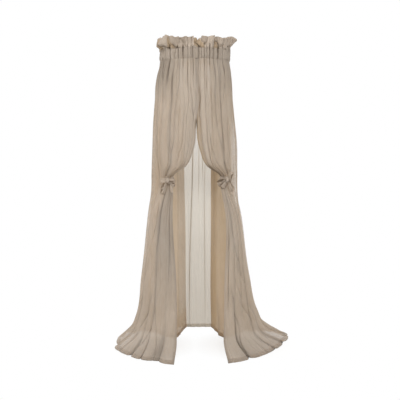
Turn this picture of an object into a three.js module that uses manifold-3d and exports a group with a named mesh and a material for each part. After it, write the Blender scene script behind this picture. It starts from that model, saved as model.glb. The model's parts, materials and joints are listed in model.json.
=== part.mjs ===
// Bed crown canopy: linen gauze curtains on a D-shaped hoop that lifts off a wall rail.
// Millimetres, +Z up. The origin is the middle of the rail's back face, on the wall.
// The wall is the plane y = 0, and the canopy stands out from it towards -y, over the bed.

import * as THREE from "three";
import { mergeVertices } from "three/addons/utils/BufferGeometryUtils.js";
import Module from "manifold-3d";

const wasm = await Module();
wasm.setup();

// Fits
const seat_gap = 0.3; // between pieces that touch
const overrun = 2; // how far a cut runs past the face that it opens

// Wall rail
const rail_overhang = 32; // beyond each socket's flange
const rail_height = 40;
const rail_thick = 4;
const rail_corner = 6;
const wall_hole_radius = 2.75;
const wall_hole_sink = 5.5; // radius of a countersink's mouth
const wall_hole_spacing = 104; // between the two inner holes
const wall_hole_inset = 15;

// Sockets, each bolted to the rail
const socket_radius = 10;
const socket_height = 45;
const flange_length = 52;
const flange_thick = 4;
const web_taper = 6; // how much shorter the web is at the flange, top and bottom
const pin_play = 0.4;
const bolt_radius = 2.5;
const bolt_head_radius = 4.5;
const bolt_head_height = 2.6;
const bolt_short = 0.6; // a bolt stops this short of the wall
const key_radius = 1.7;
const key_depth = 1.4;

// Hoop, its two pins and the sleeve that closes it
const hoop_half_width = 266;
const hoop_reach = 300; // wall to the rod's middle at the front
const hoop_back = 34; // wall to the rod's middle behind
const hoop_corner = 60;
const hoop_rise = 25; // rod above the rail's middle
const rod_radius = 6;
const rod_end_gap = 1;
const pin_spacing = 224;
const pin_length = 44;
const sleeve_length = 60;
const sleeve_radius = 9;
const grub_radius = 2;
const grub_inset = 12;

// Headings: a gathered rod pocket with a frill standing on it
const pocket_height = 78;
const pocket_half_thick = 11;
const back_pocket_half_thick = 13;
const pocket_round = 5;
const neck_half_thick = 6;
const neck_rise = 8;
const frill_height = 82;
const frill_thick = 7;
const frill_flare = 38; // how far the frill leans out at its top
const frill_wave = 17;
const frill_dip = 10;
const gather_depth = 1.2;
const front_split = 12; // the curtains meet this far right of the middle
const socket_clearance = 2; // between a socket and the headings on both sides of it

// Cloth
const floor_drop = 2285; // rod to floor
const tie_drop = 961; // rod to ties
const cloth_thick = 4;
const panel_thick = 2.4;
const hem_side_left = 660;
const hem_side_right = 775;
const hem_reach = 700;
const hem_lift = 24; // floor to the hems next to the wall
const fold_depth = 20;
const panel_half_width = 165;
const panel_shift = 15;
const panel_stand_off = 14; // wall to the panel where it hangs free
const panel_fold = 4;

// Ties: a band round the front of each curtain, tied in a bow
const band_height = 40;
const band_thick = 3;
const band_slack = 0.5; // between the cloth and its band
const band_turn = 9; // middle of the band's turn, in from the curtain's edge
const band_tail = 22; // how far the band runs on past the bundle, to where it is sewn
const knot_radius = 14;
const loop_radius = 24;
const loop_thick = 6;
const tail_length = 70;
const tail_width = 22;
const tail_thick = 4;

// Counts
const rod_steps = 80;
const rod_sides = 6;
const level_steps = 2;
const curtain_columns = 28;
const curtain_folds = 6;
const bundle_columns = 9; // of a curtain's columns, those that its tie draws together
const panel_columns = 16;
const panel_folds = 4;
const frill_pitch_steps = 5; // rod steps to one wave of the frill
const round_sides = 20;
const hole_sides = 16;

const tie_z = hoop_rise - tie_drop;
const rail_length = pin_spacing + flange_length + 2 * rail_overhang;
const side_heading_end = pin_spacing / 2 + socket_radius + socket_clearance;
const back_heading_half = pin_spacing / 2 - socket_radius - socket_clearance;
const pocket_bottom = hoop_rise - pocket_height / 2;
const cloth_top = pocket_bottom - seat_gap;
const socket_top = hoop_rise - rod_radius - seat_gap;
const socket_bottom = socket_top - socket_height;
const pin_bottom = hoop_rise - pin_length;
const flange_near = rail_thick + seat_gap;
const flange_far = flange_near + flange_thick;

const steel = new THREE.MeshStandardMaterial({ color: 0xb9bbbc, roughness: 0.4, metalness: 1 });
const enamel = new THREE.MeshStandardMaterial({ color: 0xe9e6df, roughness: 0.45, metalness: 0 });
const gauze = new THREE.MeshStandardMaterial({ color: 0xb3a293, roughness: 0.95, metalness: 0 });
const sheer = new THREE.MeshStandardMaterial({ color: 0xd5cdc0, roughness: 0.95, metalness: 0 });

// Solids to cut and join, from three.js geometry, and back
function toSolid(geometry) {
  const bare = geometry.clone();
  bare.deleteAttribute("normal");
  bare.deleteAttribute("uv");
  const merged = mergeVertices(bare);
  const mesh = new wasm.Mesh({
    numProp: 3,
    vertProperties: Float32Array.from(merged.attributes.position.array),
    triVerts: Uint32Array.from(merged.index.array),
  });
  return new wasm.Manifold(mesh);
}

function toGeometry(solid) {
  const mesh = solid.getMesh();
  const geometry = new THREE.BufferGeometry();
  geometry.setAttribute("position", new THREE.Float32BufferAttribute(mesh.vertProperties, mesh.numProp));
  geometry.setIndex(new THREE.Uint32BufferAttribute(mesh.triVerts, 1));
  return geometry;
}

// Cylinder or cone standing from z = low to z = high
function upright(radius_low, radius_high, low, high, sides) {
  const geometry = new THREE.CylinderGeometry(radius_high, radius_low, high - low, sides);
  geometry.rotateX(Math.PI / 2);
  geometry.translate(0, 0, (low + high) / 2);
  return geometry;
}

// Cylinder or cone lying square to the wall, near and far from it
function outward(radius_near, radius_far, near, far, sides) {
  return upright(radius_near, radius_far, near, far, sides).rotateX(Math.PI / 2);
}

// Rectangle with round corners, centred on the origin
function roundedRectangle(width, height, corner) {
  const shape = new THREE.Shape();
  const x = width / 2 - corner;
  const y = height / 2 - corner;
  shape.absarc(x, y, corner, 0, Math.PI / 2);
  shape.absarc(-x, y, corner, Math.PI / 2, Math.PI);
  shape.absarc(-x, -y, corner, Math.PI, Math.PI * 1.5);
  shape.absarc(x, -y, corner, Math.PI * 1.5, Math.PI * 2);
  return shape;
}

// Plate parallel to the wall
function wallPlate(shape, near, far) {
  const depth = far - near;
  const plate = new THREE.ExtrudeGeometry(shape, { depth, bevelEnabled: false, curveSegments: 4 });
  return plate.rotateX(Math.PI / 2).translate(0, -near, 0);
}

// Upright plate square to the wall: the shape's x is the distance from the wall, its y is height
function sidePlate(shape, width) {
  const plate = new THREE.ExtrudeGeometry(shape, { depth: width, bevelEnabled: false });
  const turn = new THREE.Matrix4().makeBasis(
    new THREE.Vector3(0, -1, 0),
    new THREE.Vector3(0, 0, 1),
    new THREE.Vector3(-1, 0, 0),
  );
  return plate.translate(0, 0, -width / 2).applyMatrix4(turn);
}

// Two bolts for each socket, one either side of its block
const bolt_offset = (flange_length / 2 + socket_radius) / 2;
const socket_places = [-pin_spacing / 2, pin_spacing / 2];
const bolt_places = socket_places.flatMap((x) => [x - bolt_offset, x + bolt_offset]);

// Rail: a flat bar with countersunk holes near its ends and either side of the middle
function railGeometry() {
  let solid = toSolid(wallPlate(roundedRectangle(rail_length, rail_height, rail_corner), 0, rail_thick));
  const sink_near = rail_thick - (wall_hole_sink - wall_hole_radius);
  const end_hole = rail_length / 2 - wall_hole_inset;
  for (const x of [-end_hole, -wall_hole_spacing / 2, wall_hole_spacing / 2, end_hole]) {
    const bore = outward(wall_hole_radius, wall_hole_radius, -overrun, rail_thick + overrun, hole_sides);
    const sink = outward(wall_hole_radius, wall_hole_sink, sink_near, rail_thick, hole_sides);
    solid = solid.subtract(toSolid(bore.translate(x, 0, 0))).subtract(toSolid(sink.translate(x, 0, 0)));
  }
  const thread_radius = bolt_radius + seat_gap;
  for (const x of bolt_places) {
    const thread = outward(thread_radius, thread_radius, -overrun, rail_thick + overrun, hole_sides);
    solid = solid.subtract(toSolid(thread.translate(x, 0, 0)));
  }
  return toGeometry(solid);
}

// Socket: a flange on the rail, a web, and a barrel with a blind bore for the hoop's pin
function socketGeometry() {
  const flange_outline = roundedRectangle(flange_length, rail_height, rail_corner);
  const web_outline = new THREE.Shape([
    new THREE.Vector2(flange_near, socket_bottom + web_taper * 2),
    new THREE.Vector2(hoop_back - socket_radius, socket_bottom),
    new THREE.Vector2(hoop_back, socket_bottom),
    new THREE.Vector2(hoop_back, socket_top),
    new THREE.Vector2(hoop_back - socket_radius, socket_top),
    new THREE.Vector2(flange_near, socket_top - web_taper),
  ]);
  const barrel = upright(socket_radius, socket_radius, socket_bottom, socket_top, round_sides);
  const bore_radius = rod_radius + pin_play;
  const bore = upright(bore_radius, bore_radius, pin_bottom - seat_gap, socket_top + overrun, round_sides);
  let solid = toSolid(wallPlate(flange_outline, flange_near, flange_far))
    .add(toSolid(sidePlate(web_outline, socket_radius * 2)))
    .add(toSolid(barrel.translate(0, -hoop_back, 0)))
    .subtract(toSolid(bore.translate(0, -hoop_back, 0)));
  for (const x of [-bolt_offset, bolt_offset]) {
    const hole_radius = bolt_radius + seat_gap;
    const hole = outward(hole_radius, hole_radius, 0, flange_far + overrun, hole_sides);
    solid = solid.subtract(toSolid(hole.translate(x, 0, 0)));
  }
  return toGeometry(solid);
}

// Button-head bolt with a hexagon key hole
function boltGeometry() {
  const head_near = flange_far + seat_gap;
  const head_far = head_near + bolt_head_height;
  const crown_radius = bolt_head_radius - bolt_head_height / 2;
  const shank = outward(bolt_radius, bolt_radius, bolt_short, head_far - key_depth, hole_sides);
  const head = outward(bolt_head_radius, crown_radius, head_near, head_far, hole_sides);
  const key = outward(key_radius, key_radius, head_far - key_depth, head_far + overrun, 6);
  return toGeometry(toSolid(shank).add(toSolid(head)).subtract(toSolid(key)));
}

// Plan of the hoop, with y as the distance from the wall. It starts and ends behind, in the
// middle, and goes round by the left: a straight back, round corners and half an ellipse.
const hoop_plan = new THREE.Path();
const hoop_waist = hoop_back + hoop_corner;
const corner_x = hoop_half_width - hoop_corner;
hoop_plan.moveTo(-rod_end_gap / 2, hoop_back);
hoop_plan.lineTo(-corner_x, hoop_back);
hoop_plan.absarc(-corner_x, hoop_waist, hoop_corner, Math.PI * 1.5, Math.PI, true);
hoop_plan.absellipse(0, hoop_waist, hoop_half_width, hoop_reach - hoop_waist, Math.PI, 0, true, 0);
hoop_plan.absarc(corner_x, hoop_waist, hoop_corner, 0, -Math.PI / 2, true);
hoop_plan.lineTo(rod_end_gap / 2, hoop_back);
const hoop_length = hoop_plan.getLength();

class HoopLine extends THREE.Curve {
  getPoint(t, target = new THREE.Vector3()) {
    const p = hoop_plan.getPoint(t);
    return target.set(p.x, -p.y, hoop_rise);
  }
}

// Middle of the rod at each of its steps, and the way out from the hoop there
const hoop_line = new HoopLine();
const rod_stations = Array.from({ length: rod_steps + 1 }, (_, i) => {
  const share = i / rod_steps;
  const tangent = hoop_line.getTangentAt(share);
  return { point: hoop_line.getPointAt(share), out: new THREE.Vector3(tangent.y, -tangent.x, 0) };
});

// The same at any share of the hoop's length, on the straight stretch between two steps. Past 1
// it begins again.
function hoopAt(share) {
  const step = Math.floor((share % 1) * rod_steps);
  const rest = (share % 1) * rod_steps - step;
  const [a, b] = [rod_stations[step], rod_stations[step + 1]];
  return { point: a.point.clone().lerp(b.point, rest), out: a.out.clone().lerp(b.out, rest).normalize() };
}

// Shares of the hoop's length at which the headings begin and end
const left_end_share = side_heading_end / hoop_length;
const right_end_share = 1 - left_end_share;
const split_share = 0.5 + front_split / hoop_length;
const half_gap_share = seat_gap / hoop_length;

// Hoop: the bent rod with its two pins
function hoopGeometry() {
  const section = new THREE.Shape();
  section.absarc(0, 0, rod_radius, 0, Math.PI * 2);
  const rod = new THREE.ExtrudeGeometry(section, {
    steps: rod_steps,
    extrudePath: hoop_line,
    curveSegments: rod_sides,
  });
  let solid = toSolid(rod);
  for (const x of socket_places) {
    const pin = upright(rod_radius, rod_radius, pin_bottom, hoop_rise, round_sides);
    solid = solid.add(toSolid(pin.translate(x, -hoop_back, 0)));
  }
  return toGeometry(solid);
}

// Sleeve over the rod's two ends, drilled below for its grub screws
function sleeveGeometry() {
  const along = (radius, length) => {
    const bar = new THREE.CylinderGeometry(radius, radius, length, round_sides).rotateZ(Math.PI / 2);
    return toSolid(bar.translate(0, -hoop_back, hoop_rise));
  };
  const bore_radius = rod_radius + pin_play;
  let solid = along(sleeve_radius, sleeve_length).subtract(along(bore_radius, sleeve_length + overrun));
  for (const x of grub_places) {
    const hole_radius = grub_radius + seat_gap;
    const low = hoop_rise - sleeve_radius - overrun;
    const hole = upright(hole_radius, hole_radius, low, hoop_rise, hole_sides);
    solid = solid.subtract(toSolid(hole.translate(x, -hoop_back, 0)));
  }
  return toGeometry(solid);
}

const grub_places = [-1, 1].map((side) => side * (sleeve_length / 2 - grub_inset));

function grubGeometry() {
  const low = hoop_rise - sleeve_radius;
  return upright(grub_radius, grub_radius, low, hoop_rise - rod_radius - seat_gap, hole_sides);
}

// Closed skin over rings of equal count: the outside runs from ring to ring and the ends are capped.
// Each ring is an outline with a hole's outline inside it, both turning the same way.
function tunnelGeometry(rings) {
  const points = [];
  const faces = [];
  const outer_count = rings[0].outer.length;
  const inner_count = rings[0].inner.length;
  const ring_size = outer_count + inner_count;
  for (const ring of rings) points.push(...ring.outer, ...ring.inner);
  const band = (start, count, flip) => {
    for (let r = 0; r + 1 < rings.length; r++) {
      for (let i = 0; i < count; i++) {
        const a = r * ring_size + start + i;
        const b = r * ring_size + start + ((i + 1) % count);
        const [c, d] = [a + ring_size, b + ring_size];
        faces.push(...(flip ? [a, c, b, b, c, d] : [a, b, c, b, d, c]));
      }
    }
  };
  band(0, outer_count, false);
  band(outer_count, inner_count, true);
  const cap = ({ outline, bore_outline }) => THREE.ShapeUtils.triangulateShape(outline, [bore_outline]);
  const last = (rings.length - 1) * ring_size;
  for (const [a, b, c] of cap(rings[0])) faces.push(a, c, b);
  for (const [a, b, c] of cap(rings.at(-1))) faces.push(last + a, last + b, last + c);
  return closedGeometry(points, faces);
}

// Geometry from points and faces, turned so that its faces point out
function closedGeometry(points, faces) {
  const geometry = new THREE.BufferGeometry().setFromPoints(points);
  let volume = 0;
  for (let i = 0; i < faces.length; i += 3) {
    const [a, b, c] = [points[faces[i]], points[faces[i + 1]], points[faces[i + 2]]];
    volume += a.dot(b.clone().cross(c));
  }
  if (volume < 0) faces.reverse();
  geometry.setIndex(faces);
  return geometry;
}

// Heading from one share of the hoop to another. Its section is a pocket round the rod, a
// drawn-in neck and a frill that leans out, swinging as it goes round, but not against the wall.
function headingGeometry(start_share, end_share, half_thick, bore_half) {
  const first = Math.ceil(start_share * rod_steps + 0.25);
  const last = Math.floor(end_share * rod_steps - 0.25);
  const shares = [start_share];
  for (let i = first; i <= last; i++) shares.push(i / rod_steps);
  shares.push(end_share);
  const neck = pocket_height / 2 + neck_rise;
  const top = neck + frill_height;
  const bore_outline = [];
  for (let i = 0; i < 6; i++) {
    const angle = (i * Math.PI) / 3;
    bore_outline.push(new THREE.Vector2(Math.sin(angle), -Math.cos(angle)).multiplyScalar(bore_half));
  }
  const rings = shares.map((share) => {
    const { point, out } = hoopAt(share);
    const phase = (2 * Math.PI * share * rod_steps) / frill_pitch_steps;
    const t = half_thick + gather_depth * (Math.cos(phase * 2) - 1);
    const to_wall = Math.max(out.y, 0);
    const tip = frill_flare * (1 - to_wall) + frill_wave * (1 - to_wall / 2) * Math.sin(phase);
    const lean = tip / 2;
    const lip = top - frill_dip * (0.5 + 0.5 * Math.sin(phase * 0.7));
    const half = frill_thick / 2;
    const outline = [
      [t - pocket_round, -pocket_height / 2],
      [t, -pocket_height / 2 + pocket_round],
      [t, pocket_height / 2 - pocket_round],
      [neck_half_thick, neck],
      [lean + half, (neck + lip) / 2],
      [tip + half, lip],
      [tip - half, lip],
      [lean - half, (neck + lip) / 2],
      [-neck_half_thick, neck],
      [-t, pocket_height / 2 - pocket_round],
      [-t, -pocket_height / 2 + pocket_round],
      [-t + pocket_round, -pocket_height / 2],
    ].map(([out, up]) => new THREE.Vector2(out, up));
    const lift = (p) => point.clone().addScaledVector(out, p.x).setZ(hoop_rise + p.y);
    return { outer: outline.map(lift), inner: bore_outline.map(lift), outline, bore_outline };
  });
  return tunnelGeometry(rings);
}

// Closed solid over a grid of points: the sheet is thickened square to its plan curves
function sheetGeometry(grid, thickness) {
  const rows = grid.length;
  const columns = grid[0].length;
  const sides = [1, -1].map((side) =>
    grid.flatMap((row) =>
      row.map((p, c) => p.clone().addScaledVector(planNormal(row, c), (side * thickness) / 2)),
    ),
  );
  const faces = [];
  const offset = rows * columns;
  const quad = (a, b, c, d) => faces.push(a, b, c, a, c, d);
  for (let r = 0; r + 1 < rows; r++) {
    for (let c = 0; c + 1 < columns; c++) {
      const a = r * columns + c;
      quad(a, a + 1, a + columns + 1, a + columns);
      quad(offset + a, offset + a + columns, offset + a + columns + 1, offset + a + 1);
    }
  }
  const edge = [];
  for (let c = 0; c < columns; c++) edge.push(c);
  for (let r = 1; r < rows; r++) edge.push(r * columns + columns - 1);
  for (let c = columns - 2; c >= 0; c--) edge.push((rows - 1) * columns + c);
  for (let r = rows - 2; r > 0; r--) edge.push(r * columns);
  edge.forEach((a, i) => {
    const b = edge[(i + 1) % edge.length];
    quad(b, a, offset + a, offset + b);
  });
  return closedGeometry(sides.flat(), faces);
}

// Level direction square to a row of points, at one of them
function planNormal(row, c) {
  const a = row[Math.max(c - 1, 0)];
  const b = row[Math.min(c + 1, row.length - 1)];
  return new THREE.Vector3(b.y - a.y, a.x - b.x, 0).normalize();
}

// Grid through level curves: each column is a smooth line down through all of them, and then
// moves square to its level by the fold's wave. A level gives its points and fold depths.
function drapedGrid(levels, columns, folds) {
  const lines = Array.from({ length: columns + 1 }, (_, c) =>
    new THREE.CatmullRomCurve3(levels.map((level) => level.line(c / columns))),
  );
  const rows = (levels.length - 1) * level_steps;
  const grid = Array.from({ length: rows + 1 }, (_, r) => lines.map((line) => line.getPoint(r / rows)));
  return grid.map((row, r) => {
    const level = Math.min(Math.floor(r / level_steps), levels.length - 2);
    const rest = r / level_steps - level;
    return row.map((p, c) => {
      const share = c / columns;
      const depth = THREE.MathUtils.lerp(levels[level].fold(share), levels[level + 1].fold(share), rest);
      return p.clone().addScaledVector(planNormal(row, c), depth * foldWave(share, folds));
    });
  });
}

// Folds of uneven width: a sine whose phase runs ahead and behind
function foldWave(share, folds) {
  const phase = share + 0.02 * Math.sin(share * 11);
  return Math.sin(2 * Math.PI * folds * phase);
}

// Level curve through points given by how far to the side and out from the wall they are
function levelLine(shares, side, reach, hand, z) {
  const points = shares.side.map((s, i) => new THREE.Vector3(hand * s * side, -shares.reach[i] * reach, z));
  const curve = new THREE.CatmullRomCurve3(points);
  return (share) => curve.getPoint(share);
}

// Fold depth that passes from a front share to a back share past the tied bundle
function foldDepth(front_share, back_share) {
  return (share) => {
    const passed = THREE.MathUtils.smoothstep(share, 0.33, 0.5);
    return fold_depth * THREE.MathUtils.lerp(front_share, back_share, passed);
  };
}

// Curtain plans below the heading, from the leading edge round the side to the edge behind.
// drop is a share of rod to floor; the upper ones follow the hoop and the lower ones the hem.
const left_upper_shares = [
  { drop: 0.108, folds: [0.5, 0.35],
    side: [-0.03, 0.22, 0.48, 0.74, 0.98, 1.15, 1.1, 0.9, 0.68, 0.47],
    reach: [1.02, 1.04, 1.01, 0.9, 0.69, 0.41, 0.18, 0.13, 0.13, 0.13] },
  { drop: 0.212, folds: [0.6, 0.4],
    side: [-0.03, 0.25, 0.55, 0.83, 1.07, 1.23, 1.18, 0.95, 0.69, 0.41],
    reach: [1.04, 1.08, 1.06, 0.94, 0.72, 0.43, 0.19, 0.14, 0.14, 0.14] },
  { drop: 0.319, folds: [0.7, 0.4],
    side: [0.03, 0.3, 0.59, 0.88, 1.12, 1.28, 1.23, 0.99, 0.69, 0.36],
    reach: [1.02, 1.07, 1.05, 0.94, 0.72, 0.44, 0.2, 0.15, 0.14, 0.15] },
  { drop: 0.375, folds: [0.8, 0.4],
    side: [0.3, 0.44, 0.63, 0.85, 1.1, 1.3, 1.26, 1.02, 0.7, 0.34],
    reach: [0.93, 0.98, 0.96, 0.88, 0.71, 0.46, 0.22, 0.15, 0.14, 0.15] },
];
const left_tie_shares = { folds: [1, 0.4],
  side: [0.65, 0.73, 0.82, 0.91, 1.06, 1.3, 1.3, 1.05, 0.7, 0.33],
  reach: [0.7, 0.7, 0.7, 0.7, 0.68, 0.49, 0.24, 0.16, 0.14, 0.15] };
const left_lower_shares = [
  { drop: 0.537, folds: [0.8, 0.4],
    side: [0.265, 0.33, 0.4, 0.475, 0.54, 0.575, 0.55, 0.435, 0.28, 0.125],
    reach: [0.49, 0.51, 0.49, 0.44, 0.35, 0.23, 0.11, 0.08, 0.07, 0.07] },
  { drop: 0.763, folds: [1, 0.6],
    side: [0.215, 0.325, 0.435, 0.53, 0.61, 0.645, 0.61, 0.46, 0.275, 0.12],
    reach: [0.76, 0.76, 0.72, 0.64, 0.51, 0.34, 0.14, 0.12, 0.13, 0.06] },
  { drop: 0.94, folds: [1.1, 0.7],
    side: [0.21, 0.36, 0.51, 0.65, 0.76, 0.78, 0.71, 0.52, 0.27, 0.105],
    reach: [0.95, 0.92, 0.87, 0.77, 0.6, 0.38, 0.14, 0.16, 0.28, 0.04] },
  { drop: 1, folds: [1, 0.7],
    side: [0.24, 0.42, 0.6, 0.8, 0.97, 0.93, 0.81, 0.53, 0.26, 0.1],
    reach: [1.01, 0.96, 0.9, 0.8, 0.6, 0.34, 0.11, 0.18, 0.38, 0.03] },
];

const right_upper_shares = [
  { drop: 0.108, folds: [0.5, 0.35],
    side: [0.055, 0.29, 0.53, 0.755, 0.965, 1.1, 1.065, 0.875, 0.675, 0.465],
    reach: [1.02, 1.04, 1, 0.88, 0.67, 0.41, 0.18, 0.13, 0.13, 0.13] },
  { drop: 0.212, folds: [0.6, 0.4],
    side: [0.06, 0.335, 0.59, 0.83, 1.045, 1.175, 1.145, 0.935, 0.71, 0.485],
    reach: [1.04, 1.08, 1.04, 0.92, 0.7, 0.41, 0.19, 0.14, 0.14, 0.14] },
  { drop: 0.319, folds: [0.7, 0.4],
    side: [0.14, 0.39, 0.645, 0.89, 1.115, 1.255, 1.215, 0.97, 0.725, 0.49],
    reach: [1.02, 1.07, 1.04, 0.93, 0.71, 0.44, 0.2, 0.15, 0.14, 0.15] },
  { drop: 0.375, folds: [0.8, 0.4],
    side: [0.36, 0.53, 0.73, 0.92, 1.115, 1.26, 1.23, 0.995, 0.74, 0.49],
    reach: [0.95, 0.98, 0.96, 0.88, 0.7, 0.46, 0.22, 0.15, 0.14, 0.15] },
];
const right_tie_shares = { folds: [1, 0.4],
  side: [0.76, 0.83, 0.915, 1, 1.11, 1.265, 1.255, 1.02, 0.75, 0.495],
  reach: [0.7, 0.7, 0.7, 0.7, 0.67, 0.49, 0.24, 0.16, 0.14, 0.15] };
const right_lower_shares = [
  { drop: 0.537, folds: [0.8, 0.4],
    side: [0.305, 0.345, 0.39, 0.43, 0.46, 0.475, 0.45, 0.37, 0.265, 0.17],
    reach: [0.49, 0.5, 0.48, 0.42, 0.33, 0.22, 0.11, 0.08, 0.07, 0.07] },
  { drop: 0.763, folds: [1, 0.6],
    side: [0.285, 0.355, 0.435, 0.495, 0.545, 0.56, 0.525, 0.415, 0.285, 0.17],
    reach: [0.75, 0.75, 0.71, 0.62, 0.48, 0.31, 0.14, 0.12, 0.13, 0.06] },
  { drop: 0.94, folds: [1.1, 0.7],
    side: [0.275, 0.39, 0.505, 0.615, 0.695, 0.72, 0.655, 0.49, 0.31, 0.175],
    reach: [0.93, 0.89, 0.82, 0.7, 0.53, 0.33, 0.16, 0.14, 0.27, 0.04] },
  { drop: 1, folds: [1, 0.7],
    side: [0.317, 0.5, 0.685, 0.85, 0.98, 0.93, 0.79, 0.53, 0.32, 0.18],
    reach: [0.99, 0.9, 0.79, 0.6, 0.33, 0.17, 0.13, 0.16, 0.38, 0.03] },
];

// Levels of one curtain. hand is -1 on the left and 1 on the right.
function curtainLevels(hand, upper_shares, tie_shares, lower_shares, hem_side) {
  const edge_share = split_share + hand * half_gap_share;
  const end_share = hand < 0 ? left_end_share : right_end_share;
  const top = (share) => hoopAt(THREE.MathUtils.lerp(edge_share, end_share, share)).point.setZ(cloth_top);
  const level = (shares, side, reach, z) => ({
    line: levelLine(shares, side, reach, hand, z),
    fold: foldDepth(...shares.folds),
  });
  const height = (shares) => hoop_rise - floor_drop * shares.drop;
  const levels = [
    { line: top, fold: foldDepth(0.3, 0.3) },
    ...upper_shares.map((shares) => level(shares, hoop_half_width, hoop_reach, height(shares))),
    level(tie_shares, hoop_half_width, hoop_reach, tie_z + band_height / 2),
    level(tie_shares, hoop_half_width, hoop_reach, tie_z - band_height / 2),
    ...lower_shares.map((shares) => level(shares, hem_side, hem_reach, height(shares))),
  ];
  const hem = levels.at(-1).line;
  levels.at(-1).line = (share) => {
    const p = hem(share);
    return p.setZ(p.z + hem_lift * THREE.MathUtils.smoothstep(share, 0.5, 0.9));
  };
  return levels;
}

// Back panel: a sheer that hangs between the sockets, then spreads behind the curtains' edges
const panel_shares = [
  { drop: 0.045, wide: 0, out: 0 },
  { drop: 0.14, wide: 0.9, out: 0.9 },
  { drop: 0.5, wide: 1, out: 1 },
  { drop: 1, wide: 1, out: 1 },
];

function panelGrid() {
  const narrow = back_heading_half - seat_gap;
  const line = (half, shift, stand_off, z) => (share) =>
    new THREE.Vector3(shift + half * (2 * share - 1), -stand_off, z);
  const levels = panel_shares.map(({ drop, wide, out }) => ({
    line: line(
      THREE.MathUtils.lerp(narrow, panel_half_width, wide),
      panel_shift * wide,
      THREE.MathUtils.lerp(hoop_back, panel_stand_off, out),
      hoop_rise - (floor_drop - hem_lift) * drop,
    ),
    fold: () => panel_fold,
  }));
  levels.unshift({ line: line(narrow, 0, hoop_back, cloth_top), fold: () => panel_fold });
  return drapedGrid(levels, panel_columns, panel_folds);
}

// Room that a curtain's tied bundle takes in plan, over the height of its band
function bundleRoom(grid, hand) {
  const first_row = (left_upper_shares.length + 1) * level_steps;
  const room = { edge: Infinity, end: -Infinity, near: Infinity, far: -Infinity };
  for (const row of grid.slice(first_row, first_row + level_steps + 1)) {
    for (let c = 0; c <= bundle_columns; c++) {
      for (const side of [-1, 1]) {
        const p = row[c].clone().addScaledVector(planNormal(row, c), (side * cloth_thick) / 2);
        room.edge = Math.min(room.edge, hand * p.x - band_slack);
        room.end = Math.max(room.end, hand * p.x);
        room.near = Math.min(room.near, -p.y - band_slack);
        room.far = Math.max(room.far, -p.y + band_slack);
      }
    }
  }
  return room;
}

// Band: a strap laid in a U round the bundle, open towards the curtain's side
function bandSolid(room, hand) {
  const middle = (room.near + room.far) / 2;
  const half = (room.far - room.near) / 2;
  const turn = room.edge + band_turn;
  const ring = (grow) => {
    const points = [new THREE.Vector2(room.end + band_tail, middle + half + grow)];
    for (let i = 0; i <= 10; i++) {
      const angle = Math.PI / 2 + (Math.PI * i) / 10;
      const reach = band_turn + grow;
      const round = (v) => Math.sign(v) * Math.abs(v) ** 0.6;
      points.push(new THREE.Vector2(
        turn + reach * round(Math.cos(angle)),
        middle + (half + grow) * round(Math.sin(angle)),
      ));
    }
    points.push(new THREE.Vector2(room.end, middle - half - grow));
    return points;
  };
  const outline = [...ring(0), ...ring(band_thick).reverse()];
  const shape = new THREE.Shape(outline.map((p) => new THREE.Vector2(hand * p.x, -p.y)));
  const strap = new THREE.ExtrudeGeometry(shape, { depth: band_height, bevelEnabled: false });
  return toSolid(strap.translate(0, 0, tie_z - band_height / 2));
}

// Bow: a knot on the band's front with two drooping loops and two tails, leaning out with the
// cloth that falls behind it
function bowSolid(x, out, hand, droops) {
  const ball = new THREE.SphereGeometry(knot_radius, 10, 8).scale(0.9, 0.6, 1);
  let bow = toSolid(ball);
  for (const [angle, size] of droops.loop_shares) {
    const loop = new THREE.TorusGeometry(loop_radius * size, loop_thick, 6, 14);
    loop.scale(0.72, 1, 1.5).translate(0, -loop_radius * size - knot_radius / 3, 0);
    bow = bow.add(toSolid(loop.rotateX(Math.PI / 2).rotateY(hand * angle)));
  }
  for (const [angle, size] of droops.tail_shares) {
    const outline = new THREE.Shape([
      new THREE.Vector2(-tail_width / 4, 0),
      new THREE.Vector2(tail_width / 4, 0),
      new THREE.Vector2(tail_width / 2, -tail_length * size),
      new THREE.Vector2(-tail_width / 2, -tail_length * size + tail_width / 2),
    ]);
    const tail = new THREE.ExtrudeGeometry(outline, { depth: tail_thick, bevelEnabled: false });
    tail.translate(0, 0, -tail_thick / 2).rotateX(Math.PI / 2).rotateY(hand * angle);
    bow = bow.add(toSolid(tail));
  }
  return bow.rotate([-bow_lean, 0, 0]).translate(x, -out, tie_z);
}

const bow_lean = 30; // degrees off upright
const left_bow = { loop_shares: [[0.75, 1], [-0.65, 0.9]], tail_shares: [[0.25, 1], [-0.2, 0.8]] };
const right_bow = { loop_shares: [[-1.15, 0.95], [0.5, 1]], tail_shares: [[0.35, 1], [-0.3, 0.8]] };

function tieGeometry(grid, hand, knot_share, droops) {
  const room = bundleRoom(grid, hand);
  const x = hand * THREE.MathUtils.lerp(room.edge, room.end, knot_share);
  const out = room.far + band_thick + knot_radius * 0.45;
  return toGeometry(bandSolid(room, hand).add(bowSolid(x, out, hand, droops)));
}

// Assembly
const canopy = new THREE.Group();

function place(parent, name, geometry, material, x = 0) {
  const mesh = new THREE.Mesh(geometry, material);
  mesh.name = name;
  mesh.position.x = x;
  parent.add(mesh);
}

const wall_side = new THREE.Group();
canopy.add(wall_side);
place(wall_side, "wall_rail", railGeometry(), enamel);
place(wall_side, "socket_left", socketGeometry(), enamel, socket_places[0]);
place(wall_side, "socket_right", socketGeometry(), enamel, socket_places[1]);
bolt_places.forEach((x, i) => place(wall_side, `socket_bolt_${i + 1}`, boltGeometry(), steel, x));

const crown = new THREE.Group();
canopy.add(crown);
place(crown, "hoop", hoopGeometry(), enamel);
place(crown, "hoop_sleeve", sleeveGeometry(), steel);
grub_places.forEach((x, i) => {
  const grub = grubGeometry().translate(0, -hoop_back, 0);
  place(crown, `sleeve_screw_${i + 1}`, grub, steel, x);
});

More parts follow.
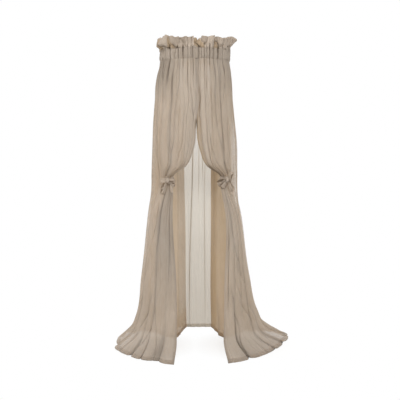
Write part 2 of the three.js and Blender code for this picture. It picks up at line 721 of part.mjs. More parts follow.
const side_bore = (rod_radius + pin_play) / Math.cos(Math.PI / 6);
const back_bore = (sleeve_radius + seat_gap) / Math.cos(Math.PI / 6);
const left_stretch = [left_end_share, split_share - half_gap_share];
const right_stretch = [split_share + half_gap_share, right_end_share];
const left_heading = headingGeometry(...left_stretch, pocket_half_thick, side_bore);
const right_heading = headingGeometry(...right_stretch, pocket_half_thick, side_bore);
const back_share = back_heading_half / hoop_length;
const back_heading = headingGeometry(1 - back_share, 1 + back_share, back_pocket_half_thick, back_bore);
place(crown, "heading_left", left_heading, gauze);
place(crown, "heading_right", right_heading, gauze);
place(crown, "heading_back", back_heading, sheer);

const left_levels = curtainLevels(
  -1, left_upper_shares, left_tie_shares, left_lower_shares, hem_side_left,
);
const right_levels = curtainLevels(
  1, right_upper_shares, right_tie_shares, right_lower_shares, hem_side_right,
);
const left_grid = drapedGrid(left_levels, curtain_columns, curtain_folds);
const right_grid = drapedGrid(right_levels, curtain_columns, curtain_folds);
place(crown, "curtain_left", sheetGeometry(left_grid, cloth_thick), gauze);
place(crown, "curtain_right", sheetGeometry(right_grid, cloth_thick), gauze);
place(crown, "back_panel", sheetGeometry(panelGrid(), panel_thick), sheer);
place(crown, "tie_left", tieGeometry(left_grid, -1, 0.39, left_bow), gauze);
place(crown, "tie_right", tieGeometry(right_grid, 1, 0.65, right_bow), gauze);

export default canopy;
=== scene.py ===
"""Bed crown canopy of crinkled linen gauze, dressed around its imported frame.

Metres. +Z is up, the wall is the plane y = 0 and the room lies towards -y. Each sheet of cloth is
a grid of points. On all but the ties it runs round the crown one way and down from it the other.
"""

import json
import math

import bpy
import numpy as np
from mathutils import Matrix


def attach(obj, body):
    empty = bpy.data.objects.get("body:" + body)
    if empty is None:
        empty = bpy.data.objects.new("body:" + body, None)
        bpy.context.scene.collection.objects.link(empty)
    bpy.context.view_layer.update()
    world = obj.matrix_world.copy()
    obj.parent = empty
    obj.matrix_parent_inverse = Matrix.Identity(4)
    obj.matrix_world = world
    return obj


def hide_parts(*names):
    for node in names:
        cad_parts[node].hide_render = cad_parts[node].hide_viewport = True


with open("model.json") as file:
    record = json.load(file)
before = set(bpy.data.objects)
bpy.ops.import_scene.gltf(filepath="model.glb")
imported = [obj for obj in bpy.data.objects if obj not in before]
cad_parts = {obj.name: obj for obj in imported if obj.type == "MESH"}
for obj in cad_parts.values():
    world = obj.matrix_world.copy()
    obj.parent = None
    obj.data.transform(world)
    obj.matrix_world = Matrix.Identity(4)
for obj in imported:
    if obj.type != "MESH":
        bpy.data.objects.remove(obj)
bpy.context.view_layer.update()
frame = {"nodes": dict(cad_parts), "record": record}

# Hoop, as the solids have it
HALF_WIDTH = 0.266
REACH = 0.300
BACK = 0.034
CORNER = 0.060
ROD_Z = 0.025
SPLIT = 0.012  # the curtains meet this far right of the middle
SIDE_END = 0.124  # from the middle behind, where the side headings end
BACK_HALF = 0.100

# Heights
FLOOR_Z = -2.260
CLOTH_TOP = -0.0143
TIE_Z = -0.936
BAND_HEIGHT = 0.040
FLOOR_DROP = 2.285
WALL_GAP = 0.004  # no curtain or panel comes nearer to the wall


# Small tools


def through(knots, values, at):
    """Smooth line through values at the knots. On each stretch it is the cubic whose end slopes
    are the mean of the slopes of the two stretches that meet there, each weighted by the other's
    length."""
    knots = np.asarray(knots, float)
    values = np.asarray(values, float)
    at = np.asarray(at, float)
    step = np.diff(knots).reshape((-1,) + (1,) * (values.ndim - 1))
    slope = np.diff(values, axis=0) / step
    inner = (slope[:-1] * step[1:] + slope[1:] * step[:-1]) / (step[:-1] + step[1:])
    ends = np.concatenate([slope[:1], inner, slope[-1:]])
    i = np.clip(np.searchsorted(knots, at, side="right") - 1, 0, len(knots) - 2)
    t = (at - knots[i]) / np.diff(knots)[i]
    t = np.clip(t, 0, 1).reshape(at.shape + (1,) * (values.ndim - 1))
    a, b, h = values[i], values[i + 1], step[i].reshape(at.shape + (1,) * (values.ndim - 1))
    return (
        a * (2 * t**3 - 3 * t**2 + 1)
        + b * (3 * t**2 - 2 * t**3)
        + ends[i] * h * (t**3 - 2 * t**2 + t)
        + ends[i + 1] * h * (t**3 - t**2)
    )


def smooth(low, high, x):
    """0 below low, 1 above high and 3t^2 - 2t^3 between, where t is the share of the way."""
    t = np.clip((x - low) / (high - low), 0, 1)
    return t * t * (3 - 2 * t)


def until(low, high, x):
    """1 below low, 0 above high and 1 less smooth between."""
    return 1 - smooth(low, high, x)


def zone(start, full, wane, end, x):
    """1 from full to wane, and 0 before start and beyond end."""
    return smooth(start, full, x) * until(wane, end, x)


def drift(u, v, across, down, seed):
    """Soft random field from -1 to 1: numbers drawn on a lattice of across by down cells over
    the unit square, blended between its points by 3t^2 - 2t^3 both ways."""
    draw = np.random.default_rng(seed).uniform(-1, 1, (down + 2, across + 2))
    x = np.clip(u, 0, 1) * across
    y = np.clip(v, 0, 1) * down
    i, j = x.astype(int), y.astype(int)
    s, t = smooth(0, 1, x - i), smooth(0, 1, y - j)
    upper = draw[j, i] * (1 - s) + draw[j, i + 1] * s
    lower = draw[j + 1, i] * (1 - s) + draw[j + 1, i + 1] * s
    return upper * (1 - t) + lower * t


def unit(vectors):
    """Vectors of length one along the last axis."""
    return vectors / np.maximum(np.linalg.norm(vectors, axis=-1, keepdims=True), 1e-9)


def normals(grid):
    """Direction square to a grid of points: the cross product of its slope down the rows and its
    slope along them."""
    return unit(np.cross(np.gradient(grid, axis=0), np.gradient(grid, axis=1)))


def placed(name, data):
    """Object with that data, linked into the scene."""
    thing = bpy.data.objects.new(name, data)
    bpy.context.scene.collection.objects.link(thing)
    return thing


def grid_piece(name, grids, cloth, material, flip, marks):
    """Piece made of one or more grids of points, each a sheet of quads. cloth holds, for each
    grid, the place of its points on the flat cloth in metres, which becomes the UV map. Each of
    marks becomes an attribute. closeness_and_painted_shade is below 0 where the threads are drawn
    apart; above 0 it marks where they lie closer or in several layers, and where shade is painted
    into the colour. inner marks where tan is painted in, standing for light that comes through the
    cloth behind first."""
    points, quads, places = [], [], []
    start = 0
    for grid, flat in zip(grids, cloth):
        rows, columns = grid.shape[:2]
        index = start + np.arange(rows * columns).reshape(rows, columns)
        corners = [index[:-1, :-1], index[1:, :-1], index[1:, 1:], index[:-1, 1:]]
        if flip:
            corners.reverse()
        quads.append(np.stack(corners, -1).reshape(-1, 4))
        points.append(grid.reshape(-1, 3))
        places.append(flat.reshape(-1, 2))
        start += rows * columns
    points, quads, places = (np.concatenate(a) for a in (points, quads, places))
    mesh = bpy.data.meshes.new(name)
    mesh.vertices.add(len(points))
    mesh.vertices.foreach_set("co", points.astype(np.float32).ravel())
    mesh.loops.add(quads.size)
    mesh.loops.foreach_set("vertex_index", quads.astype(np.int32).ravel())
    mesh.polygons.add(len(quads))
    mesh.polygons.foreach_set("loop_start", np.arange(0, quads.size, 4, dtype=np.int32))
    mesh.update(calc_edges=True)
    mesh.shade_smooth()
    uv = mesh.uv_layers.new(name="cloth")
    uv.data.foreach_set("uv", places[quads].astype(np.float32).ravel())
    for mark, values in marks.items():
        layer = mesh.attributes.new(mark, "FLOAT", "POINT")
        layer.data.foreach_set("value", values.astype(np.float32).ravel())
    mesh.materials.append(material)
    return placed(name, mesh)


# Materials


def srgb(text):
    """Linear colour of an sRGB hex value."""
    parts = [int(text[i : i + 2], 16) / 255 for i in (1, 3, 5)]
    return [p / 12.92 if p <= 0.04045 else ((p + 0.055) / 1.055) ** 2.4 for p in parts] + [1]


def add(tree, kind, settings=None, **links):
    """Adds a shader node. settings are its own properties. links give each input, by name or as
    _0, _1 and so on by place, a value, another node's output, or a node for its first output."""
    node = tree.nodes.new("ShaderNode" + kind)
    for name, value in (settings or {}).items():
        setattr(node, name, value)
    for name, value in links.items():
        key = int(name[1:]) if name[0] == "_" else name.replace("_", " ")
        if isinstance(value, bpy.types.Node):
            value = value.outputs[0]
        if isinstance(value, bpy.types.NodeSocket):
            tree.links.new(value, node.inputs[key])
        else:
            node.inputs[key].default_value = value
    return node


def maths(tree, operation, first, second, clamp=False):
    """Adds one operation on two numbers."""
    settings = {"operation": operation, "use_clamp": clamp}
    return add(tree, "Math", settings, _0=first, _1=second)


def ranged(tree, value, start, end, low, high):
    """Takes a value from start to end to the same share of the way from low to high."""
    return add(tree, "MapRange", Value=value, From_Min=start, From_Max=end, To_Min=low, To_Max=high)


def blend(tree, share, first, second):
    """Colour that share of the way from the first to the second."""
    return add(tree, "Mix", {"data_type": "RGBA"}, _0=share, _6=first, _7=second).outputs[2]


def new_material(name):
    """Empty node material and its tree."""
    material = bpy.data.materials.new(name)
    material.use_nodes = True
    material.node_tree.nodes.clear()
    return material, material.node_tree


def gauze_material(name, light, dark, warm, open_share, glow_share):
    """Crinkled gauze of linen and cotton, washed so that its slack threads shrink into long soft
    creases. light and dark are its colours on the creases and in their valleys, so the darker one
    is painted shade in the valleys; slow random changes of tone mix them too. warm is the colour
    of light which has passed through its threads. open_share is how much is seen straight through
    between the threads, and glow_share how much light passes through them. Matt all over, because
    the threads lie loose. The mark closeness_and_painted_shade darkens the colour as painted shade
    and closes the cloth, or opens it where it is below 0. The mark inner paints it tan, standing
    for light that has come through two layers."""
    material, tree = new_material(name)
    place = add(tree, "UVMap", {"uv_map": "cloth"})
    long_way = add(tree, "Mapping", Vector=place, Scale=(1, 0.22, 1))
    # Creases 12 to 20 mm apart that run down the cloth
    crease = add(
        tree, "TexNoise", Vector=long_way, Scale=62, Detail=4, Roughness=0.6, Distortion=0.6
    )
    # Slow changes of tone, as the washed cloth has, over about 25 cm
    patch = add(tree, "TexNoise", Vector=place, Scale=4, Detail=2, Roughness=0.5)
    # Warp and weft, as bands 6 mm apart that the wash has bent. Real threads lie closer.
    warp, weft = [
        add(
            tree, "TexWave", {"bands_direction": way},
            Vector=place, Scale=53, Distortion=1.6, Detail=2, Detail_Scale=1.5,
        )
        for way in "XY"
    ]
    threads = maths(tree, "MAXIMUM", warp.outputs[1], weft.outputs[1])
    # Tone: slow random patches of the washed cloth, plus the creases, whose valleys take the dark colour as
    # painted shade
    tone = add(tree, "Math", {"operation": "MULTIPLY_ADD"}, _0=patch, _1=0.9, _2=-0.45)
    tone = maths(tree, "ADD", tone, crease, clamp=True)
    colour = blend(tree, tone, srgb(dark), srgb(light))
    # Painted light and shade: where the mark inner is set, the colour is mixed towards tan, standing for
    # light that has come through two layers and for the shaded inside of the cloth. The light that passes
    # through is tinted the same way there.
    inner = add(tree, "Attribute", {"attribute_name": "inner"}).outputs["Fac"]
    colour = blend(tree, maths(tree, "MULTIPLY", inner, 0.75), colour, srgb("#bda382"))
    passed = blend(tree, inner, srgb(warm), srgb("#c9a672"))
    # Painted shade: the mark closeness_and_painted_shade darkens the colour, down to 0.3 of it, in valleys,
    # creases, gathers, recesses and the other places where shade would fall
    closeness_and_painted_shade = add(tree, "Attribute", {"attribute_name": "closeness_and_painted_shade"}).outputs["Fac"]
    shade = ranged(tree, closeness_and_painted_shade, 0, 1.6, 1, 0.30)
    colour = add(tree, "VectorMath", {"operation": "SCALE"}, _0=colour, Scale=shade)
    relief = add(tree, "Bump", Strength=0.5, Distance=0.004, Height=crease)
    relief = add(tree, "Bump", Strength=0.25, Distance=0.0008, Height=threads, Normal=relief)
    cloth = add(
        tree, "BsdfPrincipled", Base_Color=colour, Roughness=0.92, Normal=relief,
        Sheen_Weight=0.08, Sheen_Roughness=0.6, Specular_IOR_Level=0.15,
    )
    glow = add(tree, "BsdfTranslucent", Color=passed, Normal=relief)
    # Where the mark is above 0, less light passes through and less is seen between the threads, which
    # darkens the painted-shade places further; where it is below 0, threads drawn apart show more of what
    # is behind
    lit_through = ranged(tree, closeness_and_painted_shade, 0, 1, glow_share, 0.35 * glow_share)
    both = add(tree, "MixShader", _0=lit_through, _1=cloth, _2=glow)
    between = ranged(tree, closeness_and_painted_shade, -1, 0, open_share + 0.48, open_share)
    between = ranged(tree, closeness_and_painted_shade, 0, 1, between, 0.02)
    # More shows between the threads than on them
    spread = ranged(tree, threads, 0.2, 1, 1.5, 0.7)
    seen = maths(tree, "MULTIPLY", between, spread)
    whole = add(tree, "MixShader", _0=seen, _1=both, _2=add(tree, "BsdfTransparent"))
    add(tree, "OutputMaterial", Surface=whole)
    return material


def enamel_material():
    """Off-white enamel sprayed on steel: satin, with the faint orange peel of a baked coat."""
    material, tree = new_material("off_white_enamel")
    place = add(tree, "TexCoord").outputs["Object"]
    peel = add(tree, "TexNoise", Vector=place, Scale=420, Detail=2, Roughness=0.5)
    tone = blend(tree, peel, srgb("#e2ded5"), srgb("#efece5"))
    relief = add(tree, "Bump", Strength=0.2, Distance=0.0004, Height=peel)
    coat = add(tree, "BsdfPrincipled", Base_Color=tone, Roughness=0.42, Normal=relief)
    add(tree, "OutputMaterial", Surface=coat)
    return material


def zinc_material():
    """Zinc-plated steel: bright grey metal with the cloudy spangle of the plating bath."""
    material, tree = new_material("zinc_plated_steel")
    place = add(tree, "TexCoord").outputs["Object"]
    cloud = add(tree, "TexNoise", Vector=place, Scale=300, Detail=3, Roughness=0.6)
    tone = blend(tree, cloud, srgb("#a9abad"), srgb("#cdcfd1"))
    rough = ranged(tree, cloud, 0, 1, 0.28, 0.45)
    metal = add(tree, "BsdfPrincipled", Base_Color=tone, Metallic=1, Roughness=rough)
    add(tree, "OutputMaterial", Surface=metal)
    return material


GAUZE = gauze_material("crinkled_linen_gauze", "#cabfb3", "#a99c8e", "#c8b397", 0.08, 0.42)
GATHERED = gauze_material("gathered_linen_gauze", "#c6b9ab", "#ab9c8c", "#c6aa89", 0.03, 0.18)
SHEER = gauze_material("light_open_sheer", "#dad4c9", "#ccc4b7", "#ddd3c2", 0.25, 0.35)
ENAMEL = enamel_material()
ZINC = zinc_material()


# Crown


def hoop_path():
    """Plan of the rod from the middle behind, round by the left: a straight back, a quarter
    circle, half an ellipse and the same again. Returns the share of its length, x and y at
    each point."""
    waist = BACK + CORNER
    corner_x = HALF_WIDTH - CORNER
    quarter = np.linspace(0, math.pi / 2, 60)
    half = np.linspace(0, math.pi, 400)
    x = [[0, -corner_x], -corner_x - CORNER * np.sin(quarter), -HALF_WIDTH * np.cos(half)]
    y = [[BACK, BACK], waist - CORNER * np.cos(quarter), waist + (REACH - waist) * np.sin(half)]
    x += [corner_x + CORNER * np.cos(quarter), [corner_x, 0]]
    y += [waist - CORNER * np.sin(quarter), [BACK, BACK]]
    x, y = np.concatenate(x), -np.concatenate(y)
    along = np.concatenate([[0], np.cumsum(np.hypot(np.diff(x), np.diff(y)))])
    return along / along[-1], x, y, along[-1]


HOOP_SHARE, HOOP_X, HOOP_Y, HOOP_LENGTH = hoop_path()


def on_hoop(share):
    """Place on the rod and the level direction out from it, at shares of its length."""

    def place(at):
        at = np.mod(at, 1)
        return np.stack([np.interp(at, HOOP_SHARE, HOOP_X), np.interp(at, HOOP_SHARE, HOOP_Y)], -1)

    share = np.mod(share, 1)
    near = 0.002
    run = unit(place(share + near) - place(share - near))
    return place(share), np.stack([run[..., 1], -run[..., 0]], -1)


SPLIT_SHARE = 0.5 + SPLIT / HOOP_LENGTH
END_SHARE = SIDE_END / HOOP_LENGTH
STRETCH = {-1: (SPLIT_SHARE, END_SHARE), 1: (SPLIT_SHARE, 1 - END_SHARE)}


# Curtains

# Plans of each curtain from the leading edge round the side to the edge behind, top to bottom:
# drop below the rod as a share of the way to the floor, then how far to the side and how far
# out from the wall, as shares of the upper sizes down to the tie and of the lower ones below.
# The plan at the tie holds all down its band.
UPPER = (HALF_WIDTH, REACH)
LOWER = {-1: (0.660, 0.700), 1: (0.775, 0.700)}
TIE_DROP = 0.961 / FLOOR_DROP  # the band's middle is 0.961 m below the rod
BAND_SHARE = BAND_HEIGHT / 2 / FLOOR_DROP

PLANS = {-1: [
    (0.108, [-0.08, 0.2, 0.47, 0.74, 0.98, 1.15, 1.1, 0.9, 0.68, 0.47],
     [1.05, 1.05, 1.01, 0.9, 0.69, 0.41, 0.18, 0.13, 0.13, 0.13]),
    (0.15, [-0.12, 0.18, 0.48, 0.76, 1.01, 1.18, 1.13, 0.92, 0.68, 0.45],
     [1.08, 1.07, 1.03, 0.91, 0.7, 0.42, 0.18, 0.13, 0.13, 0.13]),
    (0.212, [-0.053, 0.245, 0.55, 0.83, 1.07, 1.23, 1.18, 0.95, 0.69, 0.41],
     [1.06, 1.08, 1.06, 0.94, 0.72, 0.43, 0.19, 0.14, 0.14, 0.14]),
    (0.319, [0.047, 0.308, 0.59, 0.88, 1.12, 1.28, 1.23, 0.99, 0.69, 0.36],
     [1.02, 1.07, 1.05, 0.94, 0.72, 0.44, 0.2, 0.15, 0.14, 0.15]),
    (0.375, [0.27, 0.42, 0.62, 0.85, 1.1, 1.3, 1.26, 1.02, 0.7, 0.34],
     [0.93, 0.98, 0.96, 0.88, 0.71, 0.46, 0.22, 0.15, 0.14, 0.15]),
    (TIE_DROP, [0.65, 0.73, 0.82, 0.91, 1.06, 1.3, 1.3, 1.05, 0.7, 0.33],
     [0.7, 0.7, 0.7, 0.7, 0.68, 0.49, 0.24, 0.16, 0.14, 0.15]),
    (0.537, [0.265, 0.33, 0.4, 0.47, 0.53, 0.56, 0.54, 0.435, 0.28, 0.125],
     [0.49, 0.51, 0.49, 0.44, 0.35, 0.23, 0.11, 0.08, 0.07, 0.07]),
    (0.763, [0.215, 0.325, 0.435, 0.53, 0.605, 0.635, 0.605, 0.46, 0.275, 0.12],
     [0.76, 0.76, 0.72, 0.64, 0.51, 0.34, 0.14, 0.12, 0.13, 0.06]),
    (0.91, [0.21, 0.348, 0.486, 0.603, 0.685, 0.702, 0.65, 0.498, 0.27, 0.108],
     [0.915, 0.89, 0.84, 0.742, 0.583, 0.372, 0.14, 0.153, 0.245, 0.044]),
    (0.94, [0.21, 0.36, 0.51, 0.64, 0.73, 0.74, 0.685, 0.52, 0.27, 0.105],
     [0.95, 0.92, 0.87, 0.77, 0.6, 0.38, 0.14, 0.16, 0.28, 0.04]),
    (1, [0.24, 0.42, 0.6, 0.788, 0.955, 0.93, 0.81, 0.53, 0.26, 0.1],
     [1.01, 0.945, 0.885, 0.765, 0.58, 0.34, 0.11, 0.18, 0.38, 0.03]),
], 1: [
    (0.108, [0.02, 0.28, 0.53, 0.755, 0.965, 1.1, 1.065, 0.875, 0.675, 0.465],
     [1, 1.03, 1, 0.88, 0.67, 0.41, 0.18, 0.13, 0.13, 0.13]),
    (0.212, [0.036, 0.32, 0.59, 0.83, 1.045, 1.175, 1.145, 0.935, 0.71, 0.485],
     [1.04, 1.08, 1.04, 0.92, 0.7, 0.41, 0.19, 0.14, 0.14, 0.14]),
    (0.319, [0.14, 0.39, 0.645, 0.89, 1.115, 1.255, 1.215, 0.97, 0.725, 0.49],
     [1.02, 1.07, 1.04, 0.93, 0.71, 0.44, 0.2, 0.15, 0.14, 0.15]),
    (0.375, [0.36, 0.53, 0.73, 0.92, 1.115, 1.26, 1.23, 0.995, 0.74, 0.49],
     [0.95, 0.98, 0.96, 0.88, 0.7, 0.46, 0.22, 0.15, 0.14, 0.15]),
    (TIE_DROP, [0.76, 0.83, 0.915, 1, 1.11, 1.265, 1.255, 1.02, 0.75, 0.495],
     [0.7, 0.7, 0.7, 0.7, 0.67, 0.49, 0.24, 0.16, 0.14, 0.15]),
    (0.537, [0.305, 0.345, 0.39, 0.43, 0.455, 0.465, 0.445, 0.37, 0.265, 0.17],
     [0.49, 0.5, 0.48, 0.42, 0.33, 0.22, 0.11, 0.08, 0.07, 0.07]),
    (0.763, [0.285, 0.36, 0.44, 0.503, 0.55, 0.566, 0.533, 0.42, 0.285, 0.17],
     [0.75, 0.75, 0.71, 0.62, 0.48, 0.31, 0.14, 0.12, 0.13, 0.06]),
    (0.88, [0.278, 0.372, 0.468, 0.561, 0.622, 0.643, 0.597, 0.455, 0.295, 0.172],
     [0.865, 0.838, 0.778, 0.67, 0.512, 0.322, 0.153, 0.131, 0.21, 0.047]),
    (0.94, [0.275, 0.39, 0.51, 0.625, 0.708, 0.735, 0.665, 0.49, 0.31, 0.175],
     [0.93, 0.89, 0.82, 0.7, 0.53, 0.33, 0.16, 0.14, 0.27, 0.04]),
    (1, [0.317, 0.5, 0.668, 0.833, 0.976, 0.98, 0.85, 0.55, 0.32, 0.18],
     [0.99, 0.9, 0.78, 0.6, 0.34, 0.15, 0.12, 0.15, 0.38, 0.03]),
]}

HEM_LIFT = 0.024  # how far the foot rises towards the back
CURTAIN_WIDE = 1.30  # cloth of one curtain, laid flat
CURTAIN_LONG = 2.29
CURTAIN_ACROSS = 372  # points each way
CURTAIN_DOWN = 225
SIDE_HEM = 0.022
FOOT_HEM = 0.030
TURN = 0.0016  # half the gap between a hem's two layers
# A valley FULL_VALLEY deep gets its painted shade in full
FULL_VALLEY = 0.009  # a valley this deep is marked in full


def drape(hand, u, drop):
    """Smooth form of a curtain, without its folds, at shares u of its width and at each drop:
    lines through the plans across, and through the same places on all the plans downwards."""
    start, end = STRETCH[hand]
    top, _ = on_hoop(start + (end - start) * u)
    rows, drops = [top], [(ROD_Z - CLOTH_TOP) / FLOOR_DROP]
    for at, side, reach in PLANS[hand]:
        wide, far = UPPER if at <= TIE_DROP else LOWER[hand]
        plan = np.stack([hand * wide * np.array(side), -far * np.array(reach)], -1)
        row = through(np.linspace(0, 1, len(side)), plan, u)
        for edge in (at - BAND_SHARE, at + BAND_SHARE) if at == TIE_DROP else (at,):
            rows.append(row)
            drops.append(edge)
    level = through(drops, np.array(rows), drop)
    z = ROD_Z - FLOOR_DROP * drop[:, None] + 0 * u[None, :]
    z = z + HEM_LIFT * smooth(0.5, 0.9, u)[None, :] * smooth(0.8, 1, drop)[:, None]
    return np.concatenate([level, z[..., None]], -1)


# Rows of folds from fine gathers under the casing to broad ones at the floor: how many across
# one curtain, how much they wander, how sharp their valleys are, how far they lean over, and
# their depth in mm at the drops of FOLD_DROPS.
FOLD_DROPS = [0, 0.02, 0.05, 0.10, 0.25, 0.38, 0.42, 0.46, 0.60, 0.80, 0.94, 1]
FOLD_ROWS = [
    (14, 1.2, 5, 0.3, [8.5, 7, 4, 2.6, 2, 2.2, 2.6, 1.6, 1, 0.8, 0.6, 0.6]),
    (41, 1.7, 1.3, 0.5, [1.8, 1.6, 1, 0.7, 0.5, 0.7, 1, 0.5, 0.4, 0.4, 0.5, 1]),
    (23, 1.7, 3, 0.8, [3, 3, 2.4, 2, 1.6, 1.8, 2, 1.4, 1.2, 1.2, 1.5, 2.6]),
    (11, 1.6, 2.4, 0.8, [0.8, 1.6, 2.6, 3.6, 4, 3.6, 3, 3.2, 3.8, 4.6, 6.5, 9]),
    (5, 1.4, 1.3, 0.5, [0, 0, 0.8, 1.5, 3.5, 4, 3, 5, 8, 12, 15, 16]),
]

# Creases that stand out: depth and half width in mm, then where each runs: drops, and how far
# round the curtain it lies at each. A ridge has a negative depth.
CREASES = {-1: [
    (7, 7, [0.018, 0.05, 0.085], [0.5, 0.47, 0.44]),
    (12, 8, [0.1, 0.175, 0.236, 0.293, 0.34, 0.38], [0.31, 0.31, 0.285, 0.285, 0.31, 0.33]),
    (14, 8, [0.03, 0.1, 0.153, 0.22, 0.286, 0.368, 0.4], [0.225, 0.215, 0.24, 0.23, 0.23, 0.29, 0.3]),
    (13, 7, [0.09, 0.13, 0.16, 0.19, 0.215], [0.085, 0.08, 0.072, 0.055, 0.03]),
    (5, 8, [0.02, 0.07, 0.12], [0.13, 0.13, 0.135]),
    (6, 5, [0.11, 0.2, 0.3, 0.36], [0.03, 0.03, 0.03, 0.03]),
    (9, 7, [0.02, 0.06, 0.11], [0.6, 0.6, 0.6]),
    (9, 7, [0.02, 0.08, 0.16], [0.44, 0.43, 0.42]),
    (8, 7, [0.02, 0.06, 0.1], [0.36, 0.35, 0.35]),
    (6, 6, [0.04, 0.1, 0.2], [0.17, 0.165, 0.155]),
    (8, 7, [0.16, 0.24, 0.32, 0.37], [0.14, 0.14, 0.16, 0.2]),
    (12, 9, [0.48, 0.59, 0.69, 0.79, 0.87, 0.95], [0.285, 0.25, 0.275, 0.24, 0.21, 0.165]),
    (11, 9, [0.58, 0.656, 0.744], [0.055, 0.072, 0.09]),
    (9, 12, [0.476, 0.557, 0.633, 0.757, 0.865], [0.353, 0.3, 0.34, 0.41, 0.54]),
    (15, 16, [0.805, 0.865, 0.92, 0.963], [0.29, 0.332, 0.384, 0.4]),
    (12, 14, [0.81, 0.88, 0.933, 0.972], [0.237, 0.245, 0.27, 0.294]),
], 1: [
    (12, 6, [0.12, 0.213, 0.253, 0.289, 0.33, 0.378], [0.03, 0.045, 0.05, 0.055, 0.055, 0.05]),
    (8, 7, [0.02, 0.07, 0.15], [0.52, 0.52, 0.5]),
    (9, 7, [0.02, 0.1, 0.2, 0.3], [0.35, 0.33, 0.32, 0.33]),
    (8, 7, [0.03, 0.09, 0.16, 0.24], [0.21, 0.2, 0.19, 0.18]),
    (8, 7, [0.2, 0.27, 0.34, 0.39], [0.15, 0.15, 0.18, 0.24]),
    (14, 8, [0.022, 0.1, 0.19, 0.236, 0.28, 0.33, 0.38], [0.27, 0.256, 0.244, 0.25, 0.265, 0.306, 0.354]),
    (7, 8, [0.018, 0.08, 0.175], [0.436, 0.403, 0.338]),
    (9, 9, [0.229, 0.293, 0.369], [0.388, 0.398, 0.418]),
    (12, 6, [0.075, 0.11, 0.15, 0.19, 0.215], [0.045, 0.05, 0.055, 0.045, 0.02]),
    (7, 7, [0.022, 0.071, 0.137, 0.203], [0.149, 0.144, 0.122, 0.1]),
    (-8, 14, [0.022, 0.071, 0.128], [0.093, 0.092, 0.088]),
    (18, 9, [0.45, 0.542, 0.587, 0.635, 0.725, 0.78], [0.18, 0.143, 0.13, 0.173, 0.251, 0.32]),
    (8, 8, [0.6, 0.667, 0.715], [0.04, 0.03, 0.03]),
    (16, 13, [0.78, 0.83, 0.895, 0.954, 0.98], [0.1, 0.131, 0.178, 0.164, 0.151]),
    (16, 13, [0.84, 0.871, 0.911, 0.954, 0.975], [0.353, 0.383, 0.396, 0.374, 0.351]),
    (12, 12, [0.76, 0.829, 0.889, 0.945], [0.18, 0.241, 0.311, 0.3]),
]}


def folds(u, v, seed):
    """Sum of the rows of folds. Each is the mean of w^sharp less w^sharp, where w is half of
    1 - cos(phase), so that ridges are round and valleys narrow, and each also moves its flanks
    sideways by sin(phase), which closes the valleys. The phase wanders, and the depth swells
    and shrinks so much that some folds stand out and others vanish. Returns how far out and
    how far along, in metres."""
    out, along = np.zeros(u.shape), np.zeros(u.shape)
    for k, (count, wander, sharp, lean, depths) in enumerate(FOLD_ROWS):
        phase = 2 * math.pi * count * u + wander * drift(u, v, count, 3, seed + 10 * k)
        phase += wander * 1.5 * drift(u, v, max(count // 4, 2), 2, seed + 10 * k + 1)
        swell = 0.15 + 1.5 * smooth(-0.5, 0.8, drift(u, v, count, 4, seed + 10 * k + 2))
        depth = 0.001 * through(FOLD_DROPS, depths, v) * swell
        mean = math.gamma(sharp + 0.5) / math.sqrt(math.pi) / math.gamma(sharp + 1)
        out += 2 * depth * (mean - ((1 - np.cos(phase)) / 2) ** sharp)
        along += depth * lean * np.sin(phase)
    return out, along


def creases(lines, u, v, row_length):
    """Valley along each listed line: depth times e^(-t^2) inwards, where t is the distance from
    the line in half widths, and t e^(-t^2) sideways, which closes it. It fades at both ends.
    Returns how far out and how far along."""
    out, along = np.zeros(u.shape), np.zeros(u.shape)
    for depth, half, drops, places in lines:
        centre = through(drops, places, v[:, None])
        t = (u - centre) * row_length[:, None] / (0.001 * half)
        taper = 0.25 * (drops[-1] - drops[0])
        fade = zone(drops[0] - taper, drops[0] + taper, drops[-1] - taper, drops[-1] + taper, v)
        valley = 0.001 * depth * fade[:, None] * np.exp(-np.minimum(t**2, 40))
        out -= valley
        along -= 1.5 * t * valley
    return out, along


def turned(count, length, hem):
    """Shares along a stretch of cloth whose end is turned under: a run of count steps from 0 to
    1, then back by the hem's share. Returns the share, and how far the layer lies behind, from
    0 to 1, at each step."""
    run = np.linspace(0, 1, count)
    back = max(int(count * hem / length), 3)
    under = 1 - np.linspace(0, hem / length, back + 2)[1:]
    return np.concatenate([run, [1], under]), np.concatenate([np.zeros(count), [0.5], np.ones(back + 1)])


